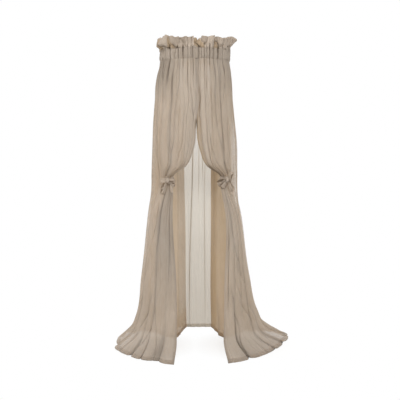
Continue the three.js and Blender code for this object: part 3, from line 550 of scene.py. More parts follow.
def curtain_grid(hand, seed):
    """Curtain: its smooth form, moved square to itself by the folds and creases, with its leading
    edge and its foot turned under. Also the place of each point on the flat cloth, and how deep
    it lies in a valley, from 0 to 1."""
    edge, edge_under = turned(CURTAIN_ACROSS, CURTAIN_WIDE, SIDE_HEM)
    u, edge_under = 1 - edge[::-1], edge_under[::-1]
    foot, foot_under = turned(CURTAIN_DOWN, CURTAIN_LONG, FOOT_HEM)
    top = (ROD_Z - CLOTH_TOP) / FLOOR_DROP
    drop = top + (1 - top) * foot
    base = drape(hand, np.abs(u), drop)
    # Square to the smooth form, worked out where its points lie evenly
    across, down = 400, 240
    even = drape(hand, np.linspace(0, 1, across), top + (1 - top) * np.linspace(0, 1, down))
    square = normals(even) * hand
    row = np.clip(foot * (down - 1), 0, down - 1.001)
    column = np.clip(u * (across - 1), 0, across - 1.001)
    square = square[row.astype(int)][:, column.astype(int)]
    along = unit(np.gradient(base, axis=1) * np.sign(np.gradient(u))[None, :, None])
    uu, vv = np.meshgrid(u, foot)
    out, shift = folds(uu, vv, seed)
    row_length = np.linalg.norm(np.diff(base, axis=1), axis=-1).sum(1)
    below = drop[:, None] - top
    # It swells out below the pocket, unevenly in front
    puff = (0.0078 + 0.002 * smooth(0.02, 0.04, below)) * until(0.04, 0.13, below)
    uneven = drift(uu, vv, 34, 2, seed + 60) * until(0.02, 0.05, below) * until(0.6, 0.7, uu)
    puff = puff * (1 + 0.35 * uneven)
    out = out * (0.9 + 0.1 * smooth(0, 0.02, below)) + puff
    dent, pull = creases(CREASES[hand], uu, drop, row_length)
    out, shift = out + dent, shift + pull
    # Shallower at the leading edge and behind, and most of all beside the sockets
    calm = (1 - 0.45 * smooth(0.5, 0.75, uu)) * (0.2 + 0.8 * smooth(0, 0.06, uu))
    calm = calm * (1 - 0.7 * smooth(0.72, 0.82, uu) * until(0.1, 0.2, vv))
    # How deep each point lies in a valley, from 0 to 1, which sets where shade is painted in the valleys
    valley = np.clip(-(out * calm - puff) / FULL_VALLEY, 0, 1)
    grid = base + square * (out * calm)[..., None] + along * (shift * calm)[..., None]
    under = np.maximum(edge_under[None, :], foot_under[:, None])
    grid = grid - square * (2 * TURN * under)[..., None]
    # Clear of the floor and the wall
    grid[..., 2] = np.maximum(grid[..., 2], FLOOR_Z + 0.001)
    grid[..., 1] = np.minimum(grid[..., 1], -WALL_GAP)
    flat = np.stack([uu * CURTAIN_WIDE, vv * CURTAIN_LONG], -1)
    return grid, flat, valley


# Headings

ROD_ROOM = 0.0072  # half the room that the rod needs
POCKET_LOW = -0.039  # the lower row of stitches, from the rod
NECK = 0.036  # the upper row
HEADING_ACROSS = 640  # points along a side heading
BACK_ACROSS = 260  # and along the back one
POCKET_HALF = 0.009  # half the thickness of a side heading's pocket
BACK_POCKET_HALF = 0.013
FRONT_GAP = 0.0003  # share of the hoop from the split to where each side heading starts

# Lobes of each frill from the front centre round to its end: place as a share of the heading,
# the angle in degrees at which the frill leans out, how much of that it curls back again above its
# middle, and how long the frill is in mm
LOBES = {
    -1: (
        [0, 0.03, 0.07, 0.12, 0.18, 0.215, 0.24, 0.28, 0.33, 0.38, 0.415, 0.45, 0.50, 0.56, 0.62,
         0.66, 0.72, 0.78, 0.83, 0.88, 0.94, 1],
        [2, -12, 16, 34, 44, 30, 46, 60, 54, 44, 30, 58, 72, 72, 58,
         30, 16, -6, 8, -8, 6, 0],
        [0, 0, 0, 0, 0, 0, 0, 0.3, 0.5, 0.8, 1.2, 1.35, 1.45, 1.45, 1.3,
         0.8, 0, 0, 0, 0, 0, 0],
        [82, 78, 80, 84, 88, 82, 92, 104, 102, 104, 110, 122, 124, 118, 110,
         102, 98, 94, 94, 94, 94, 94],
    ),
    1: (
        [0, 0.03, 0.08, 0.115, 0.135, 0.17, 0.21, 0.25, 0.29, 0.325, 0.36, 0.385, 0.42, 0.46, 0.50,
         0.56, 0.61, 0.66, 0.72, 0.78, 0.84, 0.90, 0.95, 1],
        [-8, -34, -28, 20, -28, 30, 36, -6, -38, 26, 40, -28, 38, 26, 48,
         54, 44, 36, 4, 14, -8, 8, -4, 2],
        [0, 0, 0, 0.3, 0, 0.5, 0.5, 0, 0, 0.5, 0.5, 0, 0.7, 0.7, 0.7,
         0.6, 0.4, 0, 0, 0, 0, 0, 0, 0],
        [70, 80, 84, 88, 74, 84, 96, 98, 90, 86, 82, 66, 88, 96, 108,
         114, 108, 102, 98, 94, 94, 94, 94, 94],
    ),
    0: (
        [0, 0.14, 0.3, 0.46, 0.62, 0.8, 1],
        [0, 9, -4, 8, -6, 8, 0],
        [0, 0, 0, 0, 0, 0, 0],
        [94, 94, 94, 94, 94, 94, 94],
    ),
}

# Creases of each frill, with the share of the way up it in place of the drop
FRILL_CREASES = {
    -1: [
        (18, 16, [0, 0.15, 0.35, 0.55], [0.38, 0.43, 0.5, 0.57]),
        (16, 16, [-0.3, 0, 0.15, 0.3], [0.22, 0.25, 0.29, 0.32]),
        (12, 8, [0.1, 0.4, 0.7, 0.9], [0.135, 0.155, 0.18, 0.2]),
    ],
    1: [
        (10, 9, [0, 0.2, 0.42, 0.6], [0.05, 0.045, 0.02, 0.01]),
        (10, 9, [0, 0.2, 0.5], [0.1, 0.11, 0.12]),
        (12, 9, [0, 0.25, 0.55], [0.24, 0.25, 0.27]),
        (10, 9, [0, 0.3, 0.6], [0.34, 0.33, 0.31]),
        (12, 10, [0, 0.2, 0.4], [0.44, 0.47, 0.52]),
    ],
    0: [(6, 8, [0, 0.4, 0.8], [0.4, 0.42, 0.45])],
}

# Widest gaps between the lobes, where the frill's inside is painted in tan and shade: middle and half width
GAPS = {-1: [(0.36, 0.05), (0.55, 0.05)], 0: [], 1: [(0.03, 0.085), (0.275, 0.042)]}


def both_sides(outside):
    """Values up the outer side of a heading, at its top edge and down its inner side."""
    return np.concatenate([outside, outside[-1:], outside[::-1]])


def heading_grid(start, end, columns, hand, seed, half):
    """Heading: gathered cloth that goes up outside the rod, up the frill, over its top edge and
    down inside. Its section is a line up the pocket and then a strip that leaves the neck at an
    angle, so its points are sums of short steps along sin and cos of that angle. The angle
    grows up the frill towards that of the nearest lobe, and curls back above the middle.
    Valleys between lobes are closed by a step sideways against the slope of the angle. The
    narrow gathers are those at the head of the curtain. half is half the pocket's thickness.
    Also the flat place of each point, and its marks: closeness_and_painted_shade paints shade into the
    valleys, darkest in some of them at the neck, into the widest gaps between lobes and over the pocket,
    and inner paints tan, standing for light through two layers, in the valleys and in the widest gaps
    between lobes."""
    u = np.linspace(0, 1, columns)
    place, out = on_hoop(start + (end - start) * u)
    run = unit(np.gradient(place, axis=0))
    to_wall = np.clip(out[:, 1], 0, 1)
    gather, slide = (w[0] for w in folds(u[None, :], np.zeros((1, columns)), seed))
    if hand < 0:  # shallower past its middle
        gather = gather * (1 - 0.5 * smooth(0.42, 0.55, u))

    s = np.linspace(0, 1, 26)[:, None]
    bulge = through([0, 0.2, 0.5, 0.8, 1], [0.4, 0.84, 1, 0.95, 0.8], s[:, 0])
    pinch = 1 + 0.25 * smooth(0, 0.3, s)
    wobble = 0.003 * drift(u, 0, 22, 1, seed + 71)
    puff = 0.0026 * drift(u, s, 36, 3, seed + 70)
    pocket_out = half * bulge[:, None] + 0 * u
    pocket_up = POCKET_LOW + (NECK - POCKET_LOW) * s + wobble * s

    h = np.linspace(0, 1, 36)[:, None]
    places, leans, curls, longs = LOBES[hand]
    edge = np.radians(through(places, leans, u))
    long = 0.001 * through(places, longs, u)
    slope = np.gradient(edge, u)
    fine = 2 * math.pi * 19 * u + 2.4 * drift(u, 0, 19, 1, seed + 80)
    strong = 0.35 + 0.9 * smooth(-0.5, 0.6, drift(u, 0, 9, 1, seed + 81))
    flutter = (0.5 if hand > 0 else 0.34) * np.cos(fine) * strong
    free = 1 - 0.6 * to_wall
    back = through(places, curls, u)
    early = smooth(0, 1, back)
    rise = smooth(0, 0.6 - 0.3 * early, h)
    bend = edge * free * (rise - back * smooth(0.38, 0.62, h))
    angle = bend + flutter * free * smooth(0.15, 1, h) * (1 - 0.4 * h)
    step = long / (len(h) - 1)
    frill_out = half * 0.8 + np.cumsum(np.sin(angle), axis=0) * step
    frill_up = NECK + wobble + np.cumsum(np.cos(angle), axis=0) * step
    crumple = 0.0022 * drift(u, h, 60, 4, seed + 83)
    dent, pull = creases(FRILL_CREASES[hand], u + 0 * h, h[:, 0], 0 * h[:, 0] + 0.56)
    gathered = gather * (1.25 + 0.2 * smooth(0, 0.08, h) - 1.25 * smooth(0.08, 0.5, h))
    frill_out = frill_out + gathered + crumple + dent
    closing = np.clip(0.00030 * slope, -0.012, 0.012)
    frill_run = slide * (1 - 0.8 * h) - closing * free * smooth(0.05, 0.8, h) + pull
    frill_run = frill_run + 0.004 * h * np.sin(fine) * free
    if hand > 0:  # its front end lies under the other's
        lap = until(0, 0.07, u) * smooth(0, 0.3, h)
        frill_run, frill_out = frill_run - 0.026 * lap, frill_out - 0.006 * lap
    elif hand < 0:  # its front end is drawn back
        frill_run = frill_run + 0.022 * until(0, 0.1, u) * smooth(0, 0.25, h)

    gap = 0.0012 + 0.0022 * np.sin(math.pi * h) * (0.7 + 0.6 * drift(u, 0, 30, 1, seed + 84))
    # The rod holds the pocket's two sides apart
    rod = np.sqrt(np.maximum(ROD_ROOM**2 - (POCKET_LOW + (NECK - POCKET_LOW) * s) ** 2, 0))
    layers = []
    for side in (1, -1):
        pocket = side * pocket_out + (gather + puff) * pinch
        pocket = np.maximum(pocket, rod) if side > 0 else np.minimum(pocket, -rod)
        low = np.stack([pocket, pocket_up], -1)
        high = np.stack([frill_out + side * gap * np.cos(angle), frill_up - side * gap * np.sin(angle)], -1)
        sideways = np.concatenate([slide + 0 * s, frill_run])
        layers.append((np.concatenate([low, high]), sideways))
    (outer, shift), (inner, _) = layers
    # The top edge stands a little above the two layers
    middle = (outer[-1] + inner[-1]) / 2
    top = middle + np.stack([np.sin(angle[-1]), np.cos(angle[-1])], -1) * 0.0014
    section = np.concatenate([outer, top[None], inner[::-1]])
    shift = both_sides(shift)
    level = place + out * section[..., :1] + run * shift[..., None]
    grid = np.concatenate([level, ROD_Z + section[..., 1:]], -1)
    grid[..., 1] = np.minimum(grid[..., 1], -0.003)
    down = np.concatenate([[0], np.cumsum(np.linalg.norm(np.diff(section[:, 0], axis=0), axis=-1))])
    wide = HOOP_LENGTH * abs(end - start) * 1.95
    flat = np.stack(np.broadcast_arrays(u[None, :] * wide, down[:, None]), -1)
    valley = smooth(-0.0015, 0.0048, -gather)
    # Painted shade: some gathers get sharp dark creases painted at the neck, others stay light, and the
    # frill's creases are painted dark too
    painted_crease_share = smooth(-0.35, 0.45, drift(u, s, 38, 2, seed + 90))
    below_neck = valley * (0.35 + 0.65 * painted_crease_share) * (0.8 + 0.8 * painted_crease_share * smooth(0.35, 0.85, s))
    above_neck = valley * (0.6 + painted_crease_share[-1:]) * (1 - 0.95 * smooth(0.03, 0.3, h))
    above_neck = above_neck + np.clip(-dent / 0.012, 0, 1)
    valley = both_sides(np.concatenate([below_neck, above_neck]))
    # Painted shade and tan in the widest gaps between the lobes
    patch = np.zeros(valley.shape)
    for centre, half_wide in GAPS[hand]:
        within = half_wide * (1.15 - h) - np.abs(u - centre)
        patch[len(s) : len(s) + len(h)] += smooth(-0.012, 0.012, within) * smooth(-0.05, 0.1, h)
    # Painted shade over the whole pocket, fading out up the foot of the frill
    lower = both_sides(np.concatenate([0 * s + 1, until(0, 0.2, h)]))
    return grid, flat, {
        "closeness_and_painted_shade": np.minimum(0.12 + 0.5 * lower + valley + 0.5 * patch, 1.6 if hand else 0.7),
        "inner": np.minimum(0.5 * np.clip(valley, 0, 1) + 0.95 * patch, 1),
    }


# Back panel

PANEL_WIDE = 0.46
PANEL_LONG = 2.25
PANEL_ACROSS = 190  # points each way
PANEL_DOWN = 230
PANEL_SIDE_HEM = 0.012
PANEL_TOP = 0.0172  # drop of its upper edge
PANEL_HALF = (0.0997, 0.165)  # half its width beside the sockets and below them
PANEL_OUT = (0.034, 0.014)  # how far from the wall it hangs there
PANEL_FAR = 0.06  # no point of it hangs further out
PANEL_ASIDE = 0.015  # how far to the right its middle moves
PANEL_TURN = 0.0012  # half the gap between a hem's two layers
PANEL_DROPS = [PANEL_TOP, 0.045, 0.14, 0.5, 1]
PANEL_SPREAD = [0, 0, 0.9, 1, 1]
PANEL_CREASES = [
    (11, 4, [0.26, 0.33, 0.45, 0.62, 0.8, 0.95], [0.42, 0.405, 0.385, 0.34, 0.31, 0.3]),
    (7, 4, [0.27, 0.34, 0.42], [0.6, 0.615, 0.64]),
    (6, 4, [0.29, 0.36, 0.5], [0.53, 0.54, 0.545]),
    (6, 5, [0.3, 0.45, 0.7, 0.9], [0.7, 0.69, 0.7, 0.71]),
]
PANEL_ROWS = [
    (27, 1.8, 1.4, 0.3, [0.7, 0.7, 0.8, 0.8, 0.7]),
    (12, 1.6, 2.2, 0.5, [1.5, 2, 2.4, 2.2, 2]),
    (5, 1.2, 1.3, 0.4, [0.4, 1, 1.8, 2.2, 2.4]),
]


def panel_grid(seed):
    """Sheer behind: a flat sheet that spreads below the sockets and hangs near the wall, with
    rows of folds as on the curtains, turned under at the foot and both sides."""
    foot, foot_under = turned(PANEL_DOWN, PANEL_LONG, FOOT_HEM)
    side, side_under = turned(PANEL_ACROSS, PANEL_WIDE, PANEL_SIDE_HEM)
    hem = slice(None, PANEL_ACROSS - 1, -1)
    u = np.concatenate([1 - side[hem], side])
    u_under = np.concatenate([side_under[hem], side_under])
    uu, vv = np.meshgrid(u, foot)
    drop = PANEL_TOP + (1 - PANEL_TOP) * vv
    spread = through(PANEL_DROPS, PANEL_SPREAD, drop)
    half = PANEL_HALF[0] + (PANEL_HALF[1] - PANEL_HALF[0]) * spread
    out, along = np.zeros(uu.shape), np.zeros(uu.shape)
    for k, (count, wander, sharp, over, depths) in enumerate(PANEL_ROWS):
        phase = 2 * math.pi * count * uu + wander * 1.6 * drift(uu, vv, count, 3, seed + 10 * k)
        swell = 0.7 + 0.7 * drift(uu, vv, count, 4, seed + 10 * k + 1)
        depth = 0.001 * through(PANEL_DROPS, depths, drop) * swell
        out += depth * (1 - 2 * ((1 - np.cos(phase)) / 2) ** sharp)
        along += depth * over * np.sin(phase)
    dent, pull = creases(PANEL_CREASES, uu, drop[:, 0], 2 * half[:, 0])
    out, along = out + dent, along + pull
    x = PANEL_ASIDE * spread + half * (2 * uu - 1) + along
    y = -(PANEL_OUT[0] + (PANEL_OUT[1] - PANEL_OUT[0]) * spread) - out
    under = np.maximum(u_under[None, :], foot_under[:, None])
    grid = np.stack([x, y + 2 * PANEL_TURN * under, ROD_Z - (FLOOR_DROP - HEM_LIFT) * drop], -1)
    grid[..., 1] = np.clip(grid[..., 1], -PANEL_FAR, -WALL_GAP)
    return grid, np.stack([uu * PANEL_WIDE, vv * PANEL_LONG], -1), np.clip(-dent / 0.01, 0, 1)


# Ties

BUNDLE_SHARE = 0.31  # share of a curtain's width that its band holds together

# Places on a bow count from the canopy's middle, at the tie's height and this far in front of the
# bundle.
BOW_OUT = 0.016

# Knot: its middle, half sizes and seed
KNOTS = {
    -1: [((-0.216, -0.010, -0.012), (0.013, 0.011, 0.019), 5)],
    1: [((0.256, -0.010, -0.004), (0.013, 0.012, 0.024), 6)],
}

# Loops: where each starts, its way, turn, length, width, depth and seed
LOOPS = {
    -1: [
        ((-0.226, -0.008, -0.028), (-0.6, -0.1, -0.9), 0.75, 0.056, 0.042, 0.015, 21),
        ((-0.228, -0.004, -0.034), (-0.35, -0.1, -1), 0.65, 0.080, 0.042, 0.014, 22),
        ((-0.202, -0.004, -0.026), (0.9, -0.2, -0.4), -0.6, 0.046, 0.036, 0.011, 25),
    ],
    1: [
        ((0.272, -0.008, -0.02), (0.15, -0.15, 1), 0.8, 0.092, 0.044, 0.012, 32),
        ((0.248, -0.008, -0.006), (-1, -0.1, -0.42), 0.7, 0.072, 0.056, 0.017, 31),
        ((0.250, -0.006, -0.018), (-0.75, -0.1, -0.8), 0.5, 0.056, 0.044, 0.012, 35),
        ((0.270, -0.008, -0.02), (0.35, -0.2, -1), -0.7, 0.066, 0.042, 0.012, 36),
    ],
}

# Tails: where each starts, its ways, length, width and seed
TAILS = {
    -1: [
        ((-0.196, -0.006, -0.026), [(0.3, -0.3, -1), (0.1, 0, -1), (0, 0.1, -1)], 0.095, 0.024, 23),
        ((-0.232, 0, -0.03), [(-0.5, -0.2, -1), (-0.2, 0, -1), (-0.1, 0, -1)], 0.085, 0.030, 24),
    ],
    1: [((0.268, -0.006, -0.03), [(0.3, -0.5, -1), (0.35, 0, -1), (0.3, 0.1, -1)], 0.10, 0.030, 33)],
}


def ribbon(path, across, width, seed, crease=0.0018):
    """Strip of cloth along a path. Each row is a line of that width in the direction across,
    creased lengthwise by two cosines whose phases wander. Returns the grid and its flat
    places."""
    path, across = np.asarray(path, float), unit(np.asarray(across, float))
    along = np.concatenate([[0], np.cumsum(np.linalg.norm(np.diff(path, axis=0), axis=-1))])
    face = unit(np.cross(np.gradient(path, axis=0), across))
    s = np.linspace(-1, 1, 26)
    width = np.broadcast_to(width, along.shape)
    ss, tt = np.meshgrid((s + 1) / 2, along / along[-1])
    wave = np.cos(9 * ss + 3 * drift(ss, tt, 3, 4, seed))
    wave = wave + 0.6 * np.cos(21 * ss + 4 * drift(ss, tt, 4, 6, seed + 1))
    lift = crease * wave * (0.7 + 0.5 * drift(ss, tt, 2, 5, seed + 2))
    edge = 0.0016 * drift(ss, tt, 3, 14, seed + 3)
    grid = (
        path[:, None, :]
        + across[:, None, :] * (width[:, None] / 2 * s[None, :] + edge)[..., None]
        + face[:, None, :] * lift[..., None]
    )
    return grid, np.stack([width[:, None] / 2 * s[None, :], along[:, None] + 0 * s[None, :]], -1)


def band(room, hand, seed):
    """Band round the front of a curtain: a gathered strip whose plan is a rounded oblong, open
    behind, where its ends meet the cloth."""
    low, high = room
    middle = (low + high) / 2
    half = (high - low) / 2 + 0.004
    angle = np.linspace(-0.42, 1.22, 90) * math.pi
    x = np.sign(np.cos(angle)) * np.abs(np.cos(angle)) ** 0.75 * half[0]
    y = np.sign(np.sin(angle)) * np.abs(np.sin(angle)) ** 0.75 * half[1]
    path = np.stack([middle[0] - hand * x, middle[1] - y, TIE_Z + 0 * x], -1)
    path[:, 2] += 0.003 * np.sin(3 * angle)
    up = np.tile([0, 0, 1.0], (len(path), 1))
    width = BAND_HEIGHT * (0.85 + 0.1 * np.sin(5 * angle + seed))
    return ribbon(path, up, width, seed, crease=0.0022)


def loop(knot, way, turn, long, wide, deep, seed):
    """One loop of a bow: a strip that leaves the knot along way, turns back at its end and
    returns. Its side view is a drop: along it (1 - cos)/2, and across it a sine times the
    square root of the same. It opens towards the side that turn sets."""
    way = unit(np.array(way, float))
    facing = np.array([0, -1.0, 0])
    side = unit(np.cross(way, facing))
    across = side * math.cos(turn) + facing * math.sin(turn)
    open_way = unit(np.cross(way, across))
    t = np.linspace(0, 2 * math.pi, 46)
    reach = (1 - np.cos(t)) / 2
    path = np.array(knot) + way * (long * reach[:, None])
    path = path + open_way * (deep * np.sin(t) * np.sqrt(reach + 0.02))[:, None]
    path[:, 2] -= 0.12 * long * reach**2
    width = wide * (0.34 + 0.66 * np.sqrt(reach))
    return ribbon(path, np.tile(across, (len(t), 1)), width, seed, crease=0.003)


def tail(knot, ways, long, wide, seed):
    """Loose end of a bow: a strip from the knot that bends from the first way to the last as it
    falls, widening, and twists a little."""
    t = np.linspace(0, 1, 34)
    way = unit(through(np.linspace(0, 1, len(ways)), np.array(ways, float), t))
    path = np.array(knot) + np.cumsum(way, axis=0) * long / len(t)
    twist = 0.5 * np.sin(2.2 * t + seed)
    across = np.stack([np.cos(twist), np.sin(twist), 0 * t], -1)
    return ribbon(path, across, wide * (0.4 + 0.6 * smooth(0, 0.6, t)), seed)


def knot_ball(centre, size, seed):
    """Knot: a ball drawn out by size, whose radius swells and shrinks with wrapped creases."""
    down, around = np.linspace(0.02, math.pi - 0.02, 30), np.linspace(0, 2 * math.pi, 44)
    theta, phi = np.meshgrid(down, around, indexing="ij")
    wrap = 0.09 * np.cos(5 * theta + 2 * phi) + 0.12 * drift(phi / 7, theta / 4, 8, 6, seed)
    radius = 1 + wrap * np.sin(theta)
    grid = np.stack(
        [np.sin(theta) * np.cos(phi), np.sin(theta) * np.sin(phi), np.cos(theta)], -1
    ) * radius[..., None] * np.array(size) + np.array(centre)
    return grid, np.stack([phi * size[0], theta * size[2]], -1)


def bundle_room(grid, flat):
    """Lowest and highest corner in plan of the part of a curtain that its tie draws together."""
    held = flat[..., 0] < BUNDLE_SHARE * CURTAIN_WIDE
    points = grid[held & (np.abs(grid[..., 2] - TIE_Z) < BAND_HEIGHT / 2)][:, :2]
    return points.min(0), points.max(0)


def bow_band(start, end, rise, seed):
    """Wide flat front of a bow: a strip from start to end that arches towards the room by rise,
    and is pinched in the middle, where the knot holds it."""
    t = np.linspace(0, 1, 60)
    path = np.array(start) * (1 - t[:, None]) + np.array(end) * t[:, None]
    path[:, 1] -= rise * np.sin(math.pi * t)
    path[:, 2] += 0.003 * np.sin(2 * math.pi * t)
    width = BAND_HEIGHT * (1 - 0.3 * np.exp(-(((t - 0.45) / 0.1) ** 2)) - 0.2 * (2 * t - 1) ** 4)
    return ribbon(path, np.tile([0, 0, 1.0], (60, 1)), width, seed, crease=0.003)


def tie_parts(hand, room):
    """Band, knot, loops and tails of one tie. The left bow has a flat front and hangs down from
    it; the right one is tied upright."""
    origin = np.array([0, room[0][1] - BOW_OUT, TIE_Z])
    parts = [band(room, hand, 3 if hand < 0 else 4)]
    if hand < 0:
        start, end = origin + (-0.276, 0.006, -0.014), origin + (-0.156, 0.012, -0.016)
        parts.append(bow_band(start, end, 0.014, 8))
    for make, listed in ((knot_ball, KNOTS), (loop, LOOPS), (tail, TAILS)):
        parts += [make(origin + place, *rest) for place, *rest in listed[hand]]
    return parts


# Assembly of the cloth


def curtain_marks(hand, flat, valley):
    """Marks of a curtain: how close its threads lie, with painted shade, and where tan is painted
    for light that comes through two layers. The threads are drawn apart where it turns round the
    side, over its spread foot, and on the left behind. Shade is painted, and the cloth closed, in
    its valleys, at its gathered head, where its front is gathered below the tie and across its
    front foot. The mark counts for less in the doubled hem, which has two layers of its own.
    Painted shade lines follow the hem of the leading edge, and a painted shadow lies where the two
    edges meet at the top of the opening. Painted tan and shade stand for its inside behind on the
    right, on a roll of the leading edge above the tie and along that edge's hem; on the left, tan
    is painted behind, at its head and where the two edges meet."""
    left = hand < 0
    u, v = flat[..., 0] / CURTAIN_WIDE, flat[..., 1] / CURTAIN_LONG
    turn = 0.66 if left else 0.70
    # thin, foot and doubled open the cloth; bundle, head and front_foot mark painted shade, on the gathered
    # front below the tie, at the gathered head and across the front foot
    thin = smooth(0.36, 0.46, u) * until(turn - 0.06, turn + (0.02 if left else 0.08), u)
    thin = thin * zone(0.1, 0.3, 0.6, 0.88, v) * (0.75 if left else 1.1)
    bundle = until(0.22, 0.30, u) * zone(0.38, 0.42, 0.6, 0.95, v)
    head = until(0.02, 0.16, v) * smooth(0.1, 0.4, u)
    foot = smooth(0.86, 0.97, v) * zone(0.3, 0.45, 0.62, 0.75, u)
    front_foot = smooth(-0.008, 0.008, v - 0.908 - 0.1 * u) * until(0.3, 0.42, u)
    doubled = smooth(0.984, 0.989, v)
    behind = smooth(turn + 0.02, turn + 0.06, u) if left else smooth(turn + 0.1, turn + 0.14, u)
    low = smooth(0.6, 0.85, v)
    # Painted shade along the leading edge: a roll above the tie, the hem's line, a line beside it, and a
    # shadow where the two edges meet at the top of the opening
    painted_roll_shade = until(0.05, 0.11, u) * zone(0.35, 0.375, 0.4, 0.42, v)
    painted_hem_line_shade = until(0.012, 0.03, u) * zone(0.12, 0.2, 0.4, 0.42, v)
    meet = until(0.008, 0.02, u) * zone(0.195, 0.21, 0.228, 0.24, v)
    line = np.exp(-(((u - 0.034) / 0.009) ** 2)) * zone(0.08, 0.14, 0.36, 0.4, v)

    # Painted shade: the masks and the valleys raise the mark, which darkens the colour there as well as
    # closing the cloth
    closeness_and_painted_shade = -0.9 * thin + (0.75 if left else 0.15) * bundle + (0.95 if left else 0.4) * head
    closeness_and_painted_shade = closeness_and_painted_shade + (0.7 + 0.3 * head) * valley * (1 - 0.5 * behind)
    closeness_and_painted_shade = closeness_and_painted_shade - 0.24 * foot - 0.3 * doubled * (1 - behind) + 0.24 * front_foot
    if left:
        near_hem = smooth(0.9, 0.96, v)
        beside = until(0.915, 0.94, u)
        closeness_and_painted_shade = closeness_and_painted_shade - (0.4 + 0.15 * low - 0.6 * near_hem) * behind * (1 - 1.1 * beside)
        # Painted shade lines along the hem and a painted shadow where the edges meet; painted tan behind,
        # at the head and where the edges meet
        closeness_and_painted_shade = closeness_and_painted_shade + 0.35 * line + 0.3 * painted_hem_line_shade + meet
        inner = [0.25 * behind * (1 + beside), 0.2 * head, 0.7 * meet]
    else:
        # Painted shade behind, on the roll above the tie, in lines along the hem and where the edges meet;
        # painted tan behind, on the roll and along the hem
        closeness_and_painted_shade = closeness_and_painted_shade + (0.4 - 0.25 * low) * behind + 1.1 * painted_roll_shade
        closeness_and_painted_shade = closeness_and_painted_shade + 0.8 * line + 0.6 * painted_hem_line_shade + 0.8 * meet
        inner = [0.7 * behind, 0.8 * painted_roll_shade, 0.6 * line, 0.8 * painted_hem_line_shade]
    return {"closeness_and_painted_shade": np.minimum(closeness_and_painted_shade, 1.5), "inner": np.max(inner, axis=0)}


def dress(node, parts, material, flip, marks):
    """Makes one piece of cloth, puts it in the crown's body and in its solid's place."""
    grids, places = zip(*parts)
    piece = grid_piece(node + "_cloth", grids, places, material, flip, marks)
    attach(piece, "crown")
    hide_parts(node)
    return piece


for hand, name, seed in ((-1, "left", 11), (1, "right", 47)):
    grid, flat, valley = curtain_grid(hand, seed)
    marks = curtain_marks(hand, flat, valley)
    curtain = dress("curtain_" + name, [(grid, flat)], GAUZE, hand < 0, marks)
    start, end = STRETCH[hand]
    start += hand * FRONT_GAP
    *gathered, marks = heading_grid(start, end, HEADING_ACROSS, hand, seed, POCKET_HALF)
    heading = dress("heading_" + name, [gathered], GATHERED, hand > 0, marks)
    parts = tie_parts(hand, bundle_room(grid, flat))
    # Depth behind the front of each part of the bow. The band counts as 12 mm deep all over.
    depth = np.concatenate([(g[..., 1] - g[..., 1].min()).ravel() for g, _ in parts[1:]])
    depth = np.concatenate([np.full(parts[0][0][..., 0].size, 0.012), depth])
    # Painted shade and tan: the parts of each bow that lie further back are darkened and tinted tan, where
    # shade would fall among its loops
    marks = {
        "closeness_and_painted_shade": 0.05 + (0.45 if hand < 0 else 0.7) * smooth(0.008, 0.026, depth),
        "inner": 0.4 * smooth(0.012, 0.03, depth),
    }
    tie = dress("tie_" + name, parts, GATHERED, False, marks)

back_share = BACK_HALF / HOOP_LENGTH
start, end = 1 - back_share, 1 + back_share
*gathered, marks = heading_grid(start, end, BACK_ACROSS, 0, 83, BACK_POCKET_HALF)
heading = dress("heading_back", [gathered], SHEER, True, marks)
grid, flat, valley = panel_grid(91)
# Painted shade on the back panel: darker towards the bottom and in its creases, with tan painted in the
# creases; near the top it is opened instead
fall = flat[..., 1] / PANEL_LONG
marks = {"closeness_and_painted_shade": 0.45 * fall - 0.45 * until(0.25, 0.45, fall) + 0.9 * valley, "inner": 0.7 * valley}
panel = dress("back_panel", [(grid, flat)], SHEER, False, marks)


# Camera, light and ground


def aim_camera():
    """Camera 4.3 m from the wall and 1.65 m above the floor, looking slightly down."""
    camera = placed("camera", bpy.data.cameras.new("camera"))
    camera.data.sensor_width = 36
    camera.data.lens = 46.305
    camera.location = (0, -4.30, FLOOR_Z + 1.65)
    camera.rotation_euler = (math.radians(90 - 6.92), 0, math.radians(-0.557))
    bpy.context.scene.camera = camera


def seen_directly(tree):
    """1 for what the camera, a mirror or clear glass sees, and 0 for light that cloth scatters."""
    path = add(tree, "LightPath").outputs
    sharp = maths(tree, "MAXIMUM", path["Is Glossy Ray"], path["Is Transmission Ray"])
    sharp = maths(tree, "SUBTRACT", sharp, path["Is Diffuse Ray"], clamp=True)
    return maths(tree, "MAXIMUM", path["Is Camera Ray"], sharp)


def light_world():
    """Soft light from all round, brighter from the white wall behind. To the camera, to mirrors
    and through clear things it is plain white."""
    world = bpy.data.worlds.new("white_studio")
    bpy.context.scene.world = world
    world.use_nodes = True
    tree = world.node_tree
    tree.nodes.clear()
    way = add(tree, "TexCoord").outputs["Generated"]
    away = add(tree, "SeparateXYZ", Vector=way).outputs[1]
    glow = ranged(tree, away, -0.2, 0.5, 0.5, 1.4)
    soft = add(tree, "Background", Color=(1, 1, 1, 1), Strength=glow)
    white = add(tree, "Background", Color=(1, 1, 1, 1), Strength=1)
    mix = add(tree, "MixShader", _0=seen_directly(tree), _1=soft, _2=white)
    add(tree, "OutputWorld", Surface=mix)


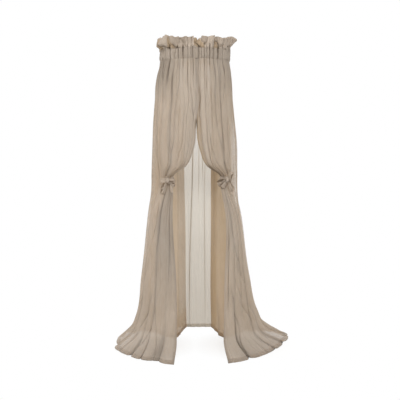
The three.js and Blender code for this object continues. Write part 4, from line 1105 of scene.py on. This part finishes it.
def lamp(name, place, target, size, watts):
    """White square soft box at a place, turned towards a target."""
    light = bpy.data.lights.new(name, "AREA")
    light.size = size
    light.energy = watts
    box = placed(name, light)
    box.location = place
    back = np.array(place, float) - np.array(target, float)
    yaw = math.atan2(back[0], -back[1])
    pitch = math.atan2(math.hypot(back[0], back[1]), back[2])
    box.rotation_euler = (pitch, 0, yaw)


def lay_floor():
    """Pale floor that keeps the shadow near the canopy and fades to white further off."""
    material, tree = new_material("pale_floor")
    place = add(tree, "TexCoord").outputs["Object"]
    part = add(tree, "SeparateXYZ", Vector=place).outputs
    side = add(tree, "Math", {"operation": "ABSOLUTE"}, _0=part[0])
    near = add(tree, "CombineXYZ", X=maths(tree, "MULTIPLY", side, 0.65), Y=part[1])
    far = add(tree, "VectorMath", {"operation": "DISTANCE"}, _0=near, _1=(0.28, -0.34, 0))
    fade = ranged(tree, far.outputs["Value"], 0.14, 0.32, 0.7, 1)
    share = maths(tree, "MULTIPLY", seen_directly(tree), fade)
    matt = add(tree, "BsdfDiffuse", Color=srgb("#f2f1ef"))
    white = add(tree, "Emission", Color=(1, 1, 1, 1), Strength=1)
    mix = add(tree, "MixShader", _0=share, _1=matt, _2=white)
    add(tree, "OutputMaterial", Surface=mix)
    mesh = bpy.data.meshes.new("floor")
    z = FLOOR_Z - 0.0005
    mesh.from_pydata([(-9, -9, z), (9, -9, z), (9, 9, z), (-9, 9, z)], [], [(0, 1, 2, 3)])
    mesh.materials.append(material)
    placed("floor", mesh)


aim_camera()
light_world()
lamp("key", (0.3, -3.4, 2.6), (0, -0.2, -1.0), 1.4, 125)
lamp("fill", (-2.4, -2.4, 0.4), (0, -0.2, -1.0), 1.6, 30)
lay_floor()

# Metal pieces keep their solids and get their finishes
for name, node in frame["nodes"].items():
    finish = {"enamel": ENAMEL, "steel": ZINC, "gauze": GAUZE, "sheer": SHEER}[
        next(p["material_slot"] for p in frame["record"]["subparts"] if p["node"] == name)
    ]
    for slot in node.material_slots:
        slot.material = finish

bpy.context.scene.view_settings.view_transform = "Standard"
